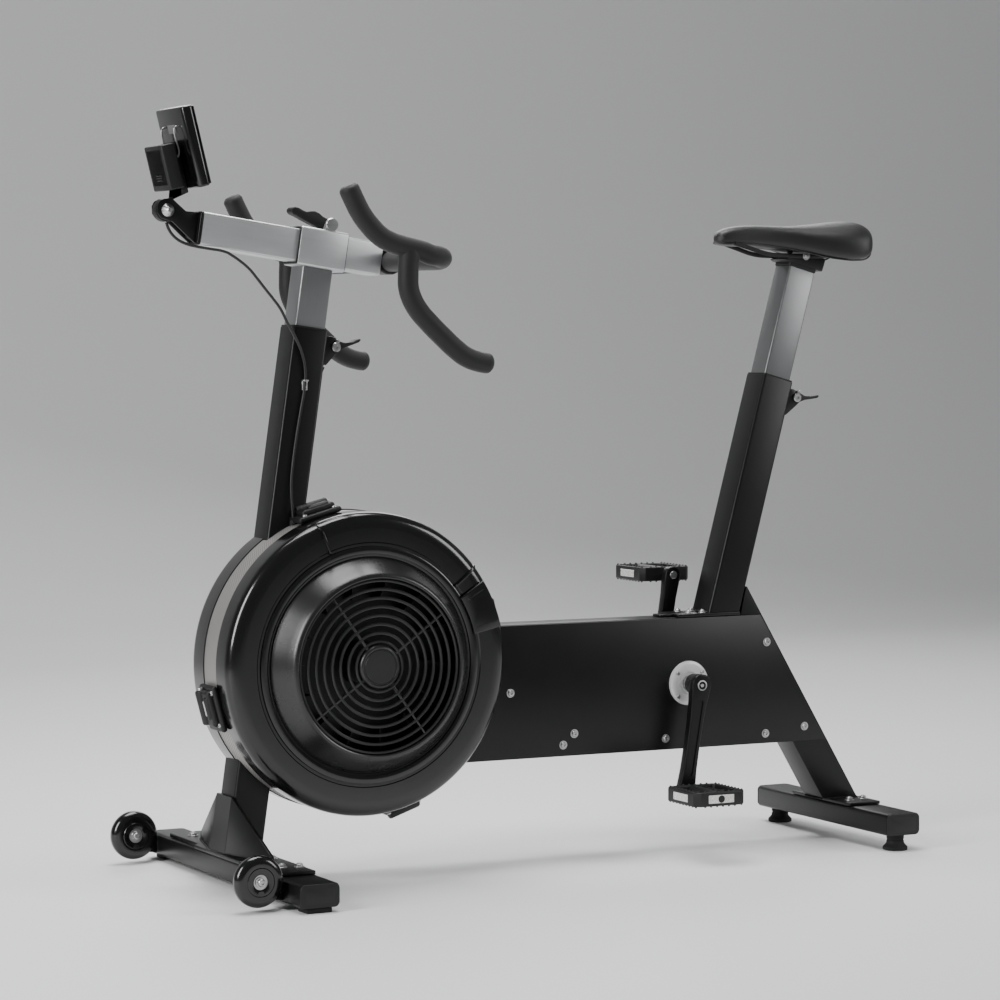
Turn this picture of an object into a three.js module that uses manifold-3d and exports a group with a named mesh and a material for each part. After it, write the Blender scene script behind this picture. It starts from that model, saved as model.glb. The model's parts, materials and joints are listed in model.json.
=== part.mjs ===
import * as THREE from 'three';
import { mergeVertices } from 'three/addons/utils/BufferGeometryUtils.js';
import Module from 'manifold-3d';

// Stationary exercise bike with an air-braked fan wheel. Millimetres, +Z up.
// +X points to the fan end, +Y to the rider's left, Z = 0 is the floor.

const wasm = await Module();
wasm.setup();

// ---- driving dimensions ----
const gap = 0.3;
const tubeSize = 57;
const tubeWall = 3;
const tubeHalf = tubeSize / 2;

const frontBarX = 495;
const frontBarHalf = 298;
const frontBarLow = 8;
const frontBarHigh = 43;
const barDepth = 62;
const padHeight = 7.7;

const wheelX = 571;
const wheelZ = 45;
const wheelY = 251;
const wheelRadius = 38;
const wheelWidth = 24;

const uprightTilt = 8.1 * Math.PI / 180;
const uprightTopX = 385.4;
const uprightTopZ = 842;
const seatTilt = 15 * Math.PI / 180;
const seatTopX = -445.8;
const seatTopZ = 762;

const beamLow = 166;
const beamHigh = 378;
const railHeight = 25;
const coverInner = 28.8;
const coverOuter = 31;

const rearBarX = -578.6;
const rearBarHalf = 197;
const rearBarLow = 26;
const rearBarHigh = 61;

const hubX = 328;
const hubZ = 335.5;
const shellRadius = 231;
const shellWall = 3;
const grilleRadius = 133;

const crankX = -274;
const crankZ = 272;
const crankLength = 170;
const crankAngle = 9 * Math.PI / 180;
const spindleRadius = 12;
const pedalMidY = 134;
const pedalAxleRadius = 6;
const runFit = 0.08;

const jackX = 20;
const jackZ = 272;

const originShift = -8.85;

const saddleNose = -341;
const saddleTail = -614;

const sliderTilt = 8.4 * Math.PI / 180;
const sleeveX = 365.2;
const sleeveZ = 963;
const sliderDeep = 50;
const sliderWide = 44;
const barX = 250;
const barZ = 945;
const barRadius = 15.5;
const barHalfSpan = 221;

const knuckleX = 612;
const knuckleZ = 1018;
const monitorTilt = 13.9 * Math.PI / 180;

// ---- solids ----
const toSolid = (geometry) => {
  let bare = geometry.index ? geometry.toNonIndexed() : geometry.clone();
  bare.deleteAttribute('normal');
  bare.deleteAttribute('uv');
  bare = mergeVertices(bare, 1e-3);
  const position = bare.getAttribute('position');
  const source = bare.getIndex().array;
  const corner = (k) => new THREE.Vector3().fromBufferAttribute(position, k);
  let volume = 0;
  const kept = [];
  for (let k = 0; k < source.length; k += 3) {
    const [a, b, c] = [source[k], source[k + 1], source[k + 2]];
    if (a === b || b === c || a === c) continue;
    kept.push(a, b, c);
    volume += corner(a).dot(corner(b).cross(corner(c)));
  }
  if (volume < 0) {
    for (let k = 0; k < kept.length; k += 3) {
      [kept[k], kept[k + 1]] = [kept[k + 1], kept[k]];
    }
  }
  return new wasm.Manifold(new wasm.Mesh({
    numProp: 3,
    vertProperties: new Float32Array(position.array),
    triVerts: new Uint32Array(kept),
  }));
};

const toGeometry = (solid) => {
  const raw = solid.getMesh();
  const geometry = new THREE.BufferGeometry();
  geometry.setAttribute('position', new THREE.BufferAttribute(new Float32Array(raw.vertProperties), 3));
  geometry.setIndex(Array.from(raw.triVerts));
  geometry.computeVertexNormals();
  return geometry;
};

const outline = (points) => new THREE.Shape(points.map(([a, b]) => new THREE.Vector2(a, b)));

const extrude = (points, depth) => new THREE.ExtrudeGeometry(outline(points), {
  depth, bevelEnabled: false, steps: 1,
});

// points are (x, z), the prism runs from y0 to y1
const prismY = (points, y0, y1) => {
  const geometry = extrude(points, y1 - y0);
  geometry.rotateX(Math.PI / 2);
  geometry.translate(0, y1, 0);
  return toSolid(geometry);
};

// points are (x, y), the prism runs from z0 to z1
const prismZ = (points, z0, z1) => {
  const geometry = extrude(points, z1 - z0);
  geometry.translate(0, 0, z0);
  return toSolid(geometry);
};

// points are (y, z), the prism runs from x0 to x1
const prismX = (points, x0, x1) => {
  const geometry = extrude(points, x1 - x0);
  const turn = new THREE.Matrix4().makeBasis(
    new THREE.Vector3(0, 1, 0), new THREE.Vector3(0, 0, 1), new THREE.Vector3(1, 0, 0));
  geometry.applyMatrix4(turn);
  geometry.translate(x0, 0, 0);
  return toSolid(geometry);
};

const roundRect = (halfA, halfB, radius, steps = 2) => {
  const points = [];
  const corners = [[1, 1], [-1, 1], [-1, -1], [1, -1]];
  corners.forEach(([sa, sb], corner) => {
    for (let k = 0; k <= steps; k += 1) {
      const angle = (corner + k / steps) * Math.PI / 2;
      points.push([
        sa * (halfA - radius) + radius * Math.cos(angle),
        sb * (halfB - radius) + radius * Math.sin(angle),
      ]);
    }
  });
  return points;
};

const rect = (a0, b0, a1, b1) => [[a0, b0], [a1, b0], [a1, b1], [a0, b1]];

// a prism of (side, across) points from one (x, z) point to another; side is Y
const barAlong = (points, from, to) => {
  const along = new THREE.Vector3(to[0] - from[0], 0, to[1] - from[1]);
  const depth = along.length();
  along.normalize();
  const side = new THREE.Vector3(0, 1, 0);
  const across = new THREE.Vector3().crossVectors(along, side);
  const geometry = extrude(points, depth);
  geometry.applyMatrix4(new THREE.Matrix4().makeBasis(side, across, along));
  geometry.translate(from[0], 0, from[1]);
  return toSolid(geometry);
};

const roundY = (x, z, radius, y0, y1, segments = 24) => {
  const geometry = new THREE.CylinderGeometry(radius, radius, y1 - y0, segments);
  geometry.translate(x, (y0 + y1) / 2, z);
  return toSolid(geometry);
};

const roundZ = (x, y, radius, z0, z1, segments = 24, topRadius = radius) => {
  const geometry = new THREE.CylinderGeometry(topRadius, radius, z1 - z0, segments);
  geometry.rotateX(Math.PI / 2);
  geometry.translate(x, y, (z0 + z1) / 2);
  return toSolid(geometry);
};

// profile is (radius, y), turned about the Y line through (x, z)
const turnY = (profile, x, z, segments = 48) => {
  const points = profile.map(([r, y]) => new THREE.Vector2(r, y));
  const first = points[0];
  const last = points[points.length - 1];
  if (first.x > 0 || last.x > 0) points.push(first.clone());
  const geometry = new THREE.LatheGeometry(points, segments);
  geometry.translate(x, 0, z);
  return toSolid(geometry);
};

const tubeThrough = (points, radius, steps, segments, tension = 0.5) => {
  const curve = new THREE.CatmullRomCurve3(
    points.map(([x, y, z]) => new THREE.Vector3(x, y, z)), false, 'catmullrom', tension);
  const ring = [];
  for (let k = 0; k < segments; k += 1) {
    const angle = 2 * Math.PI * k / segments;
    ring.push([radius * Math.cos(angle), radius * Math.sin(angle)]);
  }
  return toSolid(new THREE.ExtrudeGeometry(outline(ring), {
    steps, bevelEnabled: false, extrudePath: curve,
  }));
};

const joined = (solids) => solids.reduce((whole, piece) => whole.add(piece));
const less = (whole, cuts) => cuts.reduce((rest, cut) => rest.subtract(cut), whole);
const polar = (radius, degrees) => [
  hubX + radius * Math.cos(degrees * Math.PI / 180),
  hubZ + radius * Math.sin(degrees * Math.PI / 180),
];

// ---- materials and nodes ----
const bike = new THREE.Group();
bike.name = 'exercise_bike';

const blackPaint = { color: 0x17181a, roughness: 0.45, metalness: 0.25 };
const blackGloss = { color: 0x101113, roughness: 0.22, metalness: 0.0 };
const blackMatte = { color: 0x1b1c1e, roughness: 0.7, metalness: 0.0 };
const rubberBlack = { color: 0x141414, roughness: 0.85, metalness: 0.0 };
const alloy = { color: 0xc3c6ca, roughness: 0.32, metalness: 0.85 };
const steel = { color: 0xa9adb1, roughness: 0.3, metalness: 0.9 };
const bandGrey = { color: 0xa5a39e, roughness: 0.5, metalness: 0.6 };
const discWhite = { color: 0xdfe1e2, roughness: 0.4, metalness: 0.1 };
const foamBlack = { color: 0x1e1f20, roughness: 0.8, metalness: 0.0 };
const saddleBlack = { color: 0x151517, roughness: 0.4, metalness: 0.0 };

const addNode = (name, solid, look) => {
  const material = new THREE.MeshStandardMaterial(look);
  material.name = name;
  const geometry = toGeometry(solid);
  geometry.translate(originShift, 0, 0);
  const mesh = new THREE.Mesh(geometry, material);
  mesh.name = name;
  bike.add(mesh);
};

const bothSides = [['left', 1], ['right', -1]];
const spanY = (side, inner, outer) => (side > 0 ? [inner, outer] : [-outer, -inner]);

// ---- front foot ----
const footTube = (x, half, low, high) => {
  const middle = (low + high) / 2;
  const tall = (high - low) / 2;
  const shell = roundRect(barDepth / 2, tall, 5).map(([a, b]) => [x + a, middle + b]);
  const inside = roundRect(barDepth / 2 - tubeWall, tall - tubeWall, 2)
    .map(([a, b]) => [x + a, middle + b]);
  return less(prismY(shell, -half, half), [prismY(inside, -half - 1, half + 1)]);
};

const footCap = (x, half, low, high, side) => {
  const middle = (low + high) / 2;
  const tall = (high - low) / 2;
  const face = roundRect(barDepth / 2, tall, 5).map(([a, b]) => [x + a, middle + b]);
  const plug = roundRect(barDepth / 2 - tubeWall - gap, tall - tubeWall - gap, 2)
    .map(([a, b]) => [x + a, middle + b]);
  const [f0, f1] = spanY(side, half + gap, half + 3.5);
  const [p0, p1] = spanY(side, half - 14, half + 1.5);
  return joined([prismY(face, f0, f1), prismY(plug, p0, p1)]);
};

addNode('front_foot_bar', footTube(frontBarX, frontBarHalf, frontBarLow, frontBarHigh), blackPaint);
bothSides.forEach(([word, side]) => {
  const cap = footCap(frontBarX, frontBarHalf, frontBarLow, frontBarHigh, side);
  addNode(`front_cap_${word}`, cap, blackMatte);
  const [y0, y1] = spanY(side, 264, 298);
  const pad = prismZ(rect(frontBarX - 20, y0, frontBarX + 20, y1), 0, padHeight);
  addNode(`front_pad_${word}`, pad, rubberBlack);
});

// ---- transport wheels, each on the right of its wheel ----
bothSides.forEach(([word, side]) => {
  const middle = side * wheelY;
  const back = middle - wheelWidth / 2 - 1;
  const cheek = prismY([
    [526 + gap, 12], [548, 16], [wheelX + 8, wheelZ - 12], [wheelX + 13, wheelZ],
    [wheelX + 8, wheelZ + 11], [wheelX - 6, wheelZ + 13], [526 + gap, 40],
  ], back - 5, back);
  const flange = prismY(rect(526 + gap, 12, 531, 40), back - 26, back - 4);
  const stub = roundY(wheelX, wheelZ, 4, back - 5, middle + wheelWidth / 2 + 6);
  const head = roundY(wheelX, wheelZ, 8.5, middle + wheelWidth / 2 + 1, middle + wheelWidth / 2 + 6);
  addNode(`wheel_bracket_${word}`, joined([cheek, flange, stub, head]), blackPaint);
  const half = wheelWidth / 2;
  const core = 4 + runFit;
  const tread = [[core, -half], [20, -half], [28, -half + 1], [34.5, -half + 4.5], [wheelRadius, -3.5],
    [wheelRadius, 3.5], [34.5, half - 4.5], [28, half - 1], [20, half], [core, half]];
  addNode(`transport_wheel_${word}`,
    turnY(tread.map(([r, y]) => [r, y + middle]), wheelX, wheelZ, 24), blackGloss);
});

// ---- front upright ----
const upDir = [-Math.sin(uprightTilt), Math.cos(uprightTilt)];
const uprightAt = (distance) => [uprightTopX + upDir[0] * distance, uprightTopZ + upDir[1] * distance];
const basePlateTop = frontBarHigh + gap + 6;
const uprightFoot = uprightAt(-840);
const squareTube = roundRect(tubeHalf, tubeHalf, 4);
const squareHole = roundRect(tubeHalf - tubeWall, tubeHalf - tubeWall, 2);
const belowPlate = prismY(rect(300, -100, 700, basePlateTop + gap), -100, 100);
const upright = less(barAlong(squareTube, uprightFoot, uprightAt(0)), [
  barAlong(squareHole, uprightAt(-860), uprightAt(10)), belowPlate,
]);
addNode('front_upright', upright, blackPaint);

const plateShape = rect(frontBarX - 28, -222, frontBarX + 28, 222);
const basePlate = prismZ(plateShape, frontBarHigh + gap, basePlateTop);
const frontFaceX = (z) => uprightTopX + (uprightTopZ - z) * Math.tan(uprightTilt)
  + tubeHalf / Math.cos(uprightTilt) + gap;
const gussetFront = prismY([
  [frontFaceX(48), 48], [frontFaceX(136), 136], [frontFaceX(136) + 5, 136], [frontFaceX(48) + 5, 48],
], -29, 29);
const gussetWing = (side) => {
  const inner = side * 28.8;
  const outer = side * 140;
  return wasm.Manifold.hull([
    [frontFaceX(48), inner, 48], [frontFaceX(48) + 5, inner, 48],
    [frontFaceX(136), inner, 136], [frontFaceX(136) + 5, inner, 136],
    [498, outer, 48], [503, outer, 48], [498, outer, 62], [503, outer, 62],
  ]);
};
const gussetPlate = joined([gussetFront, gussetWing(1), gussetWing(-1)]);
const plateNose = prismZ(rect(500, -90, 533, 90), frontBarHigh + gap, basePlateTop);
addNode('front_base_plate', joined([basePlate, plateNose, gussetPlate]), blackPaint);

// clamp block on a tube's rear face, with a pivot pin for its lever
const clampBlock = (face, along, pivot, half) => {
  const [fx, fz] = face;
  const rear = [-along[1], along[0]];
  const place = (out, up) => [fx + rear[0] * out + along[0] * up, fz + rear[1] * out + along[1] * up];
  const bodyShape = [place(gap, -30), place(gap, 14), place(10.2, 14), place(10.2, -14)];
  const ear = [place(10, -16), place(10, 14), place(20, 12), place(29, 4), place(27, -9), place(16, -22)];
  const [px, pz] = pivot;
  return joined([
    prismY(bodyShape, -half, half),
    prismY(ear, -half, -half + 5),
    prismY(ear, half - 5, half),
    roundY(px, pz, 4, -half - 2, half + 2),
  ]);
};

const uprightRear = [uprightAt(-20)[0] - tubeHalf * Math.cos(uprightTilt),
  uprightAt(-20)[1] - tubeHalf * Math.sin(uprightTilt)];
const uprightPivot = [uprightRear[0] - 20, uprightRear[1] - 4];
addNode('upright_clamp', clampBlock(uprightRear, upDir, uprightPivot, 15), blackPaint);

const camLever = (pivot, tip, half) => {
  const [px, pz] = pivot;
  const run = [tip[0] - px, tip[1] - pz];
  const size = Math.hypot(run[0], run[1]);
  const u = [run[0] / size, run[1] / size];
  const v = [u[1], -u[0]];
  const at = (a, b) => [px + u[0] * a + v[0] * b, pz + u[1] * a + v[1] * b];
  const blade = [
    at(0, -4), at(0, 5), at(16, 5), at(size - 8, 1), at(size, -4), at(size - 2, -8), at(size - 12, -4),
  ];
  return less(joined([roundY(px, pz, 8.5, -half, half), prismY(blade, -half, half)]),
    [roundY(px, pz, 4 + runFit, -half - 1, half + 1)]);
};
const uprightLeverTip = [uprightPivot[0] - 42, uprightPivot[1] + 11];
addNode('upright_lever', camLever(uprightPivot, uprightLeverTip, 9.5), blackMatte);

// ---- rear frame ----
const seatDir = [-Math.sin(seatTilt), Math.cos(seatTilt)];
const seatAt = (distance) => [seatTopX + seatDir[0] * distance, seatTopZ + seatDir[1] * distance];
const seatPlateTop = beamHigh + gap + 5;
const seatRearX = (z) => seatTopX + (seatTopZ - z) * Math.tan(seatTilt) - tubeHalf / Math.cos(seatTilt);
const seatTube = less(barAlong(squareTube, seatAt(-430), seatAt(0)), [
  barAlong(squareHole, seatAt(-450), seatAt(10)),
  prismY(rect(-500, 200, -200, seatPlateTop + gap), -60, 60),
]);
addNode('seat_tube', seatTube, blackPaint);
addNode('seat_base_plate', prismZ(rect(seatRearX(seatPlateTop) - gap, -coverOuter, -256, coverOuter),
  beamHigh + gap, seatPlateTop), blackPaint);

const slopeAngle = 59 * Math.PI / 180;
const slopeRun = 1 / Math.tan(slopeAngle);
const slopeWide = tubeSize / Math.sin(slopeAngle);
const legRearX = (z) => -383.5 - (429 - z) * slopeRun;
const rearPlateTop = rearBarHigh + gap + 5;
const legFoot = rearPlateTop + gap;
const legHole = tubeWall / Math.sin(slopeAngle);
const legOuter = prismY([
  [legRearX(legFoot), legFoot], [legRearX(legFoot) + slopeWide, legFoot],
  [legRearX(beamHigh) + slopeWide, beamHigh], [seatRearX(beamHigh) - 1, beamHigh],
  [seatRearX(seatPlateTop) - 2 * gap - 1, beamHigh], [seatRearX(424) - 2 * gap, 424], [legRearX(424), 424],
], -tubeHalf, tubeHalf);
const legInner = prismY([
  [legRearX(0) + legHole, 0], [legRearX(0) + slopeWide - legHole, 0],
  [legRearX(beamHigh + 20) + slopeWide - legHole, beamHigh + 20],
  [legRearX(beamHigh + 20) + legHole, beamHigh + 20],
], -tubeHalf + tubeWall, tubeHalf - tubeWall);
addNode('rear_leg', less(legOuter, [legInner]), blackPaint);

const uprightRearX = (z) => uprightTopX + (uprightTopZ - z) * Math.tan(uprightTilt)
  - tubeHalf / Math.cos(uprightTilt) - gap;
const legFrontX = (z) => legRearX(z) + slopeWide + gap;
const rail = (low, high) => {
  const shape = [
    [legFrontX(low), low], [uprightRearX(low), low], [uprightRearX(high), high], [legFrontX(high), high],
  ];
  const hole = rect(-700, low + tubeWall, 700, high - tubeWall);
  return less(prismY(shape, -tubeHalf, tubeHalf), [prismY(hole, -tubeHalf + tubeWall, tubeHalf - tubeWall)]);
};
addNode('beam_top_rail', rail(beamHigh - railHeight, beamHigh), blackPaint);
addNode('beam_bottom_rail', rail(beamLow, beamLow + railHeight), blackPaint);

const coverShape = [
  [legRearX(beamLow) + 4, beamLow], [uprightRearX(beamLow), beamLow],
  [uprightRearX(beamHigh - 1), beamHigh - 1], [legRearX(beamHigh - 1) + 4, beamHigh - 1],
];
bothSides.forEach(([word, side]) => {
  const [y0, y1] = spanY(side, coverInner, coverOuter);
  const holes = [roundY(crankX, crankZ, spindleRadius + 5, y0 - 1, y1 + 1)];
  if (side > 0) holes.push(roundY(hubX, hubZ, 14, y0 - 1, y1 + 1));
  addNode(`side_cover_${word}`, less(prismY(coverShape, y0, y1), holes), blackPaint);
});

addNode('rear_foot_bar', footTube(rearBarX, rearBarHalf, rearBarLow, rearBarHigh), blackPaint);
const rearPlateShape = rect(rearBarX - 30, -89, rearBarX + 32, 89);
addNode('rear_base_plate', prismZ(rearPlateShape, rearBarHigh + gap, rearPlateTop), blackPaint);
bothSides.forEach(([word, side]) => {
  addNode(`rear_cap_${word}`, footCap(rearBarX, rearBarHalf, rearBarLow, rearBarHigh, side), blackMatte);
  const y = side * 176;
  const flare = joined([
    roundZ(rearBarX, y, 20, 0, 6),
    roundZ(rearBarX, y, 20, 5.9, 12, 24, 14),
    roundZ(rearBarX, y, 14, 11.9, rearBarLow - gap),
  ]);
  addNode(`rear_foot_${word}`, flare, rubberBlack);
});

const seatFace = [
  seatAt(-22)[0] - tubeHalf * Math.cos(seatTilt), seatAt(-22)[1] - tubeHalf * Math.sin(seatTilt),
];
const seatPivot = [seatFace[0] - 20.5, seatFace[1] - 3];
addNode('seat_tube_clamp', clampBlock(seatFace, seatDir, seatPivot, 15), blackPaint);
addNode('seat_lever', camLever(seatPivot, [seatPivot[0] - 44, seatPivot[1] + 2], 9.5), blackMatte);

// ---- seat post, clamp, rails and saddle ----
const postSection = roundRect(23, 25, 3);
const postHole = roundRect(20, 22, 1.5);
const seatPostTop = 184;
addNode('seat_post', less(barAlong(postSection, seatAt(-200), seatAt(seatPostTop)),
  [barAlong(postHole, seatAt(-210), seatAt(seatPostTop + 10))]), alloy);

const postHead = seatAt(seatPostTop + gap);
const railZ = 962;
const railPath = (y) => [[-368, y * 0.8, 981], [-392, y * 0.9, 974], [-430, y, railZ + 2], [-470, y, railZ],
  [-520, y, railZ], [-556, y * 1.3, railZ + 3], [-583, y * 1.75, 977]];
const cradle = less(prismY([
  [postHead[0] + 32, postHead[1] + 9], [postHead[0] + 36, 958], [postHead[0] - 46, 958],
  [postHead[0] - 40, postHead[1] - 9],
], -25, 25), [prismY([
  [postHead[0] + 60, postHead[1] + 16.08], [postHead[0] + 60, postHead[1] - 20],
  [postHead[0] - 60, postHead[1] - 20], [postHead[0] - 60, postHead[1] - 16.08],
], -40, 40)]);
const keeper = prismY(rect(postHead[0] - 40, 957, postHead[0] + 30, 966), -25, 25);
addNode('seat_clamp', joined([cradle, keeper,
  tubeThrough(railPath(22), 3.5, 14, 6), tubeThrough(railPath(-22), 3.5, 14, 6)]), blackMatte);

// half width, top and underside of the saddle at stations along X
const saddleStations = [
  [0.000, 4, 992, 984], [0.012, 12, 998, 979], [0.04, 18, 1004, 976.5], [0.12, 22, 1009, 976],
  [0.22, 24.5, 1011, 975.5], [0.34, 30, 1010.5, 972], [0.45, 38, 1010, 966.5], [0.55, 50, 1011.5, 961],
  [0.65, 62, 1014.5, 955], [0.75, 72, 1018, 951.5], [0.84, 77, 1020.5, 950.5], [0.91, 76, 1021, 953],
  [0.96, 67, 1018, 961], [0.99, 49, 1011, 974], [1.0, 31, 1004, 984],
];
const saddleRing = 16;
const saddleSolid = () => {
  const positions = [];
  const triangles = [];
  saddleStations.forEach(([share, half, top, low]) => {
    const x = saddleNose + (saddleTail - saddleNose) * share;
    const droop = half > 40 ? (half - 40) * 0.36 : 0;
    const hollow = half > 30 ? (half - 30) * 0.5 : 0;
    for (let k = 0; k < saddleRing; k += 1) {
      const angle = 2 * Math.PI * k / saddleRing;
      const c = Math.cos(angle);
      const s = Math.sin(angle);
      const y = half * Math.sign(c) * Math.abs(c) ** 0.75;
      const middle = (top + low) / 2;
      const tall = (top - low) / 2;
      const sag = droop * (y / half) ** 2;
      const under = s < 0 ? hollow * (1 - (y / half) ** 2) ** 1.5 : 0;
      positions.push(x, y, middle + tall * Math.sign(s) * Math.abs(s) ** 0.7 - sag + under);
    }
  });
  const count = saddleStations.length;
  for (let i = 0; i < count - 1; i += 1) {
    for (let k = 0; k < saddleRing; k += 1) {
      const a = i * saddleRing + k;
      const b = i * saddleRing + (k + 1) % saddleRing;
      triangles.push(a, b, a + saddleRing, b, b + saddleRing, a + saddleRing);
    }
  }
  for (let k = 1; k < saddleRing - 1; k += 1) {
    triangles.push(0, k + 1, k);
    const last = (count - 1) * saddleRing;
    triangles.push(last, last + k, last + k + 1);
  }
  const geometry = new THREE.BufferGeometry();
  geometry.setAttribute('position', new THREE.BufferAttribute(new Float32Array(positions), 3));
  geometry.setIndex(triangles);
  return toSolid(geometry);
};
addNode('saddle', less(saddleSolid(), [
  tubeThrough(railPath(22), 3.5 + 2 * gap, 14, 6), tubeThrough(railPath(-22), 3.5 + 2 * gap, 14, 6),
]), saddleBlack);

// ---- handlebar post, sleeve and slider ----
const slideDir = [Math.cos(sliderTilt), Math.sin(sliderTilt)];
const slideUp = [-slideDir[1], slideDir[0]];
const slideAt = (along, up = 0) => [
  sleeveX + slideDir[0] * along + slideUp[0] * up, sleeveZ + slideDir[1] * along + slideUp[1] * up,
];
const sleeveHalfLong = 39;
const sleeveHalfDeep = 30;
const sleeveBottom = prismY([slideAt(-200, -sleeveHalfDeep - gap), slideAt(200, -sleeveHalfDeep - gap),
  slideAt(200, 200), slideAt(-200, 200)], -80, 80);
addNode('handlebar_post', less(barAlong(postSection, uprightAt(-190), uprightAt(130)),
  [barAlong(postHole, uprightAt(-200), uprightAt(140)), sleeveBottom]), alloy);

const sleeveOuter = barAlong(roundRect(27.5, sleeveHalfDeep, 4),
  slideAt(-sleeveHalfLong), slideAt(sleeveHalfLong));
const sleeveHole = barAlong(roundRect(sliderWide / 2 + 0.4, sliderDeep / 2 + 0.4, 3),
  slideAt(-sleeveHalfLong - 5), slideAt(sleeveHalfLong + 5));
const leverSeat = slideAt(-10, sleeveHalfDeep + 9);
const bossShape = [slideAt(-19, sleeveHalfDeep - 1), slideAt(-1, sleeveHalfDeep - 1),
  slideAt(-4, sleeveHalfDeep + 11), slideAt(-16, sleeveHalfDeep + 11)];
const sleeveBoss = joined([
  prismY(bossShape, -20, -12),
  prismY(bossShape, 12, 20),
  roundY(leverSeat[0], leverSeat[1], 4, -20, 20),
]);
addNode('slider_sleeve', joined([less(sleeveOuter, [sleeveHole]), sleeveBoss]), alloy);
addNode('sleeve_lever', camLever(leverSeat, slideAt(50, sleeveHalfDeep + 14), 10.5), blackMatte);

const sliderRear = -101;
const sliderFront = 197;
const sliderOuter = barAlong(roundRect(sliderWide / 2, sliderDeep / 2, 3),
  slideAt(sliderRear), slideAt(sliderFront));
const sliderInner = barAlong(roundRect(sliderWide / 2 - 3, sliderDeep / 2 - 3, 1.5),
  slideAt(sliderRear - 5), slideAt(sliderFront + 5));
addNode('slider', less(sliderOuter, [sliderInner]), alloy);

// ---- stem and handlebar ----
const stemBlock = prismY([slideAt(sliderRear - gap, -17), slideAt(sliderRear - gap, 17),
  slideAt(sliderRear - 12, 21), slideAt(sliderRear - 24, 20), slideAt(sliderRear - 35, 12),
  slideAt(sliderRear - 35, -12), slideAt(sliderRear - 24, -20), slideAt(sliderRear - 12, -21)], -21, 21);
addNode('stem', less(stemBlock, [roundY(barX, barZ, barRadius + gap, -30, 30, 28)]), blackPaint);

const bend = 28;
const hornPath = (side) => {
  const y = side * barHalfSpan;
  return [[413, y, 1050], [403, y, 1030], [391, y, 1009], [376, y, 991], [360, y, 977], [344, y, 969],
    [327, y, 964], [309, y, 960], [292, y, 956], [barX + bend, y, 951]];
};
const bendPath = (side) => {
  const points = [];
  for (let k = 1; k <= 5; k += 1) {
    const angle = k / 5 * Math.PI / 2;
    points.push([
      barX + bend * (1 - Math.sin(angle)), side * (barHalfSpan - bend * (1 - Math.cos(angle))),
      951 - (951 - barZ) * k / 5,
    ]);
  }
  return points;
};
const mainBar = [...hornPath(1), ...bendPath(1), [barX, 120, barZ], [barX, 0, barZ], [barX, -120, barZ],
  ...bendPath(-1).reverse(), ...hornPath(-1).reverse()];
const dropPath = (side) => {
  const y = side * barHalfSpan;
  return [[313, y, 958], [315, y, 940], [315.5, y, 922], [315, y, 903], [310, y, 887], [299, y, 869],
    [281, y, 850], [258, y, 829], [238, y, 812], [220, y, 800], [200, y, 793], [178, y, 789.5]];
};
addNode('handlebar', joined([tubeThrough(mainBar, barRadius, 60, 10),
  tubeThrough(dropPath(1), barRadius, 16, 10), tubeThrough(dropPath(-1), barRadius, 16, 10)]), foamBlack);

// ---- monitor arm, neck and boxes ----
const armPlate = prismY([slideAt(sliderFront + gap, -25), slideAt(sliderFront + 5, -25),
  slideAt(sliderFront + 5, 25), slideAt(sliderFront + gap, 25)], -22, 22);
const armShape = [slideAt(sliderFront + 4, -24), slideAt(sliderFront + 20, -14), [604, 1001], [627, 1012],
  [628, 1024], [620, 1034], [604, 1035], slideAt(sliderFront + 26, 22), slideAt(sliderFront + 4, 24)];
const armLeft = prismY(armShape, 9, 13);
const armRight = prismY(armShape, -13, -9);
const armPin = roundY(knuckleX, knuckleZ, 5, -16, 16);
addNode('monitor_arm', joined([armPlate, armLeft, armRight, armPin]), blackPaint);

const tallDir = [Math.sin(monitorTilt), Math.cos(monitorTilt)];
const backDir = [Math.cos(monitorTilt), -Math.sin(monitorTilt)];
const monitorX = 590;
const monitorZ = 1110;
const boxAt = (up, back) => [
  monitorX + tallDir[0] * up + backDir[0] * back, monitorZ + tallDir[1] * up + backDir[1] * back,
];
const neckShape = [boxAt(-66, 2), boxAt(12, 2), boxAt(12, 16), boxAt(-66, 16), [knuckleX + 12, 1030],
  [knuckleX - 12, 1036]];
const boxOf = (low, high, front, back, half) => barAlong(
  roundRect(half, (back - front) / 2, 4), boxAt(low, (front + back) / 2), boxAt(high, (front + back) / 2));
addNode('monitor', boxOf(-61, 61, -19, 1.7, 55), blackGloss);
const neck = joined([prismY(neckShape, -8.5, 8.5), roundY(knuckleX, knuckleZ, 17, -8.5, 8.5)]);
const batteryBox = boxOf(-56, 12, 15.9, 40, 35);
addNode('monitor_back', less(joined([neck, batteryBox]), [roundY(knuckleX, knuckleZ, 5 + runFit, -10, 10)]),
  blackMatte);

// ---- fan housing ----
const inShell = shellRadius - shellWall;
const bezelFoot = 164;
const nearProfile = [
  [shellRadius, 64], [shellRadius, 97], [228, 106.5], [220, 113], [208, 115], [bezelFoot + gap, 113],
  [bezelFoot + gap, 110], [208, 112], [219, 109.6], [225.5, 105], [inShell, 97], [inShell, 64],
];
addNode('housing_near_shell', turnY(nearProfile, hubX, hubZ, 40), blackGloss);
const bezelProfile = [
  [bezelFoot, 109], [bezelFoot, 113], [140, 149], [136.5, 151], [grilleRadius, 150.5], [grilleRadius, 146.5],
  [137, 145.5], [160, 109],
];
addNode('fan_bezel', turnY(bezelProfile, hubX, hubZ, 40), blackGloss);

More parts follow.
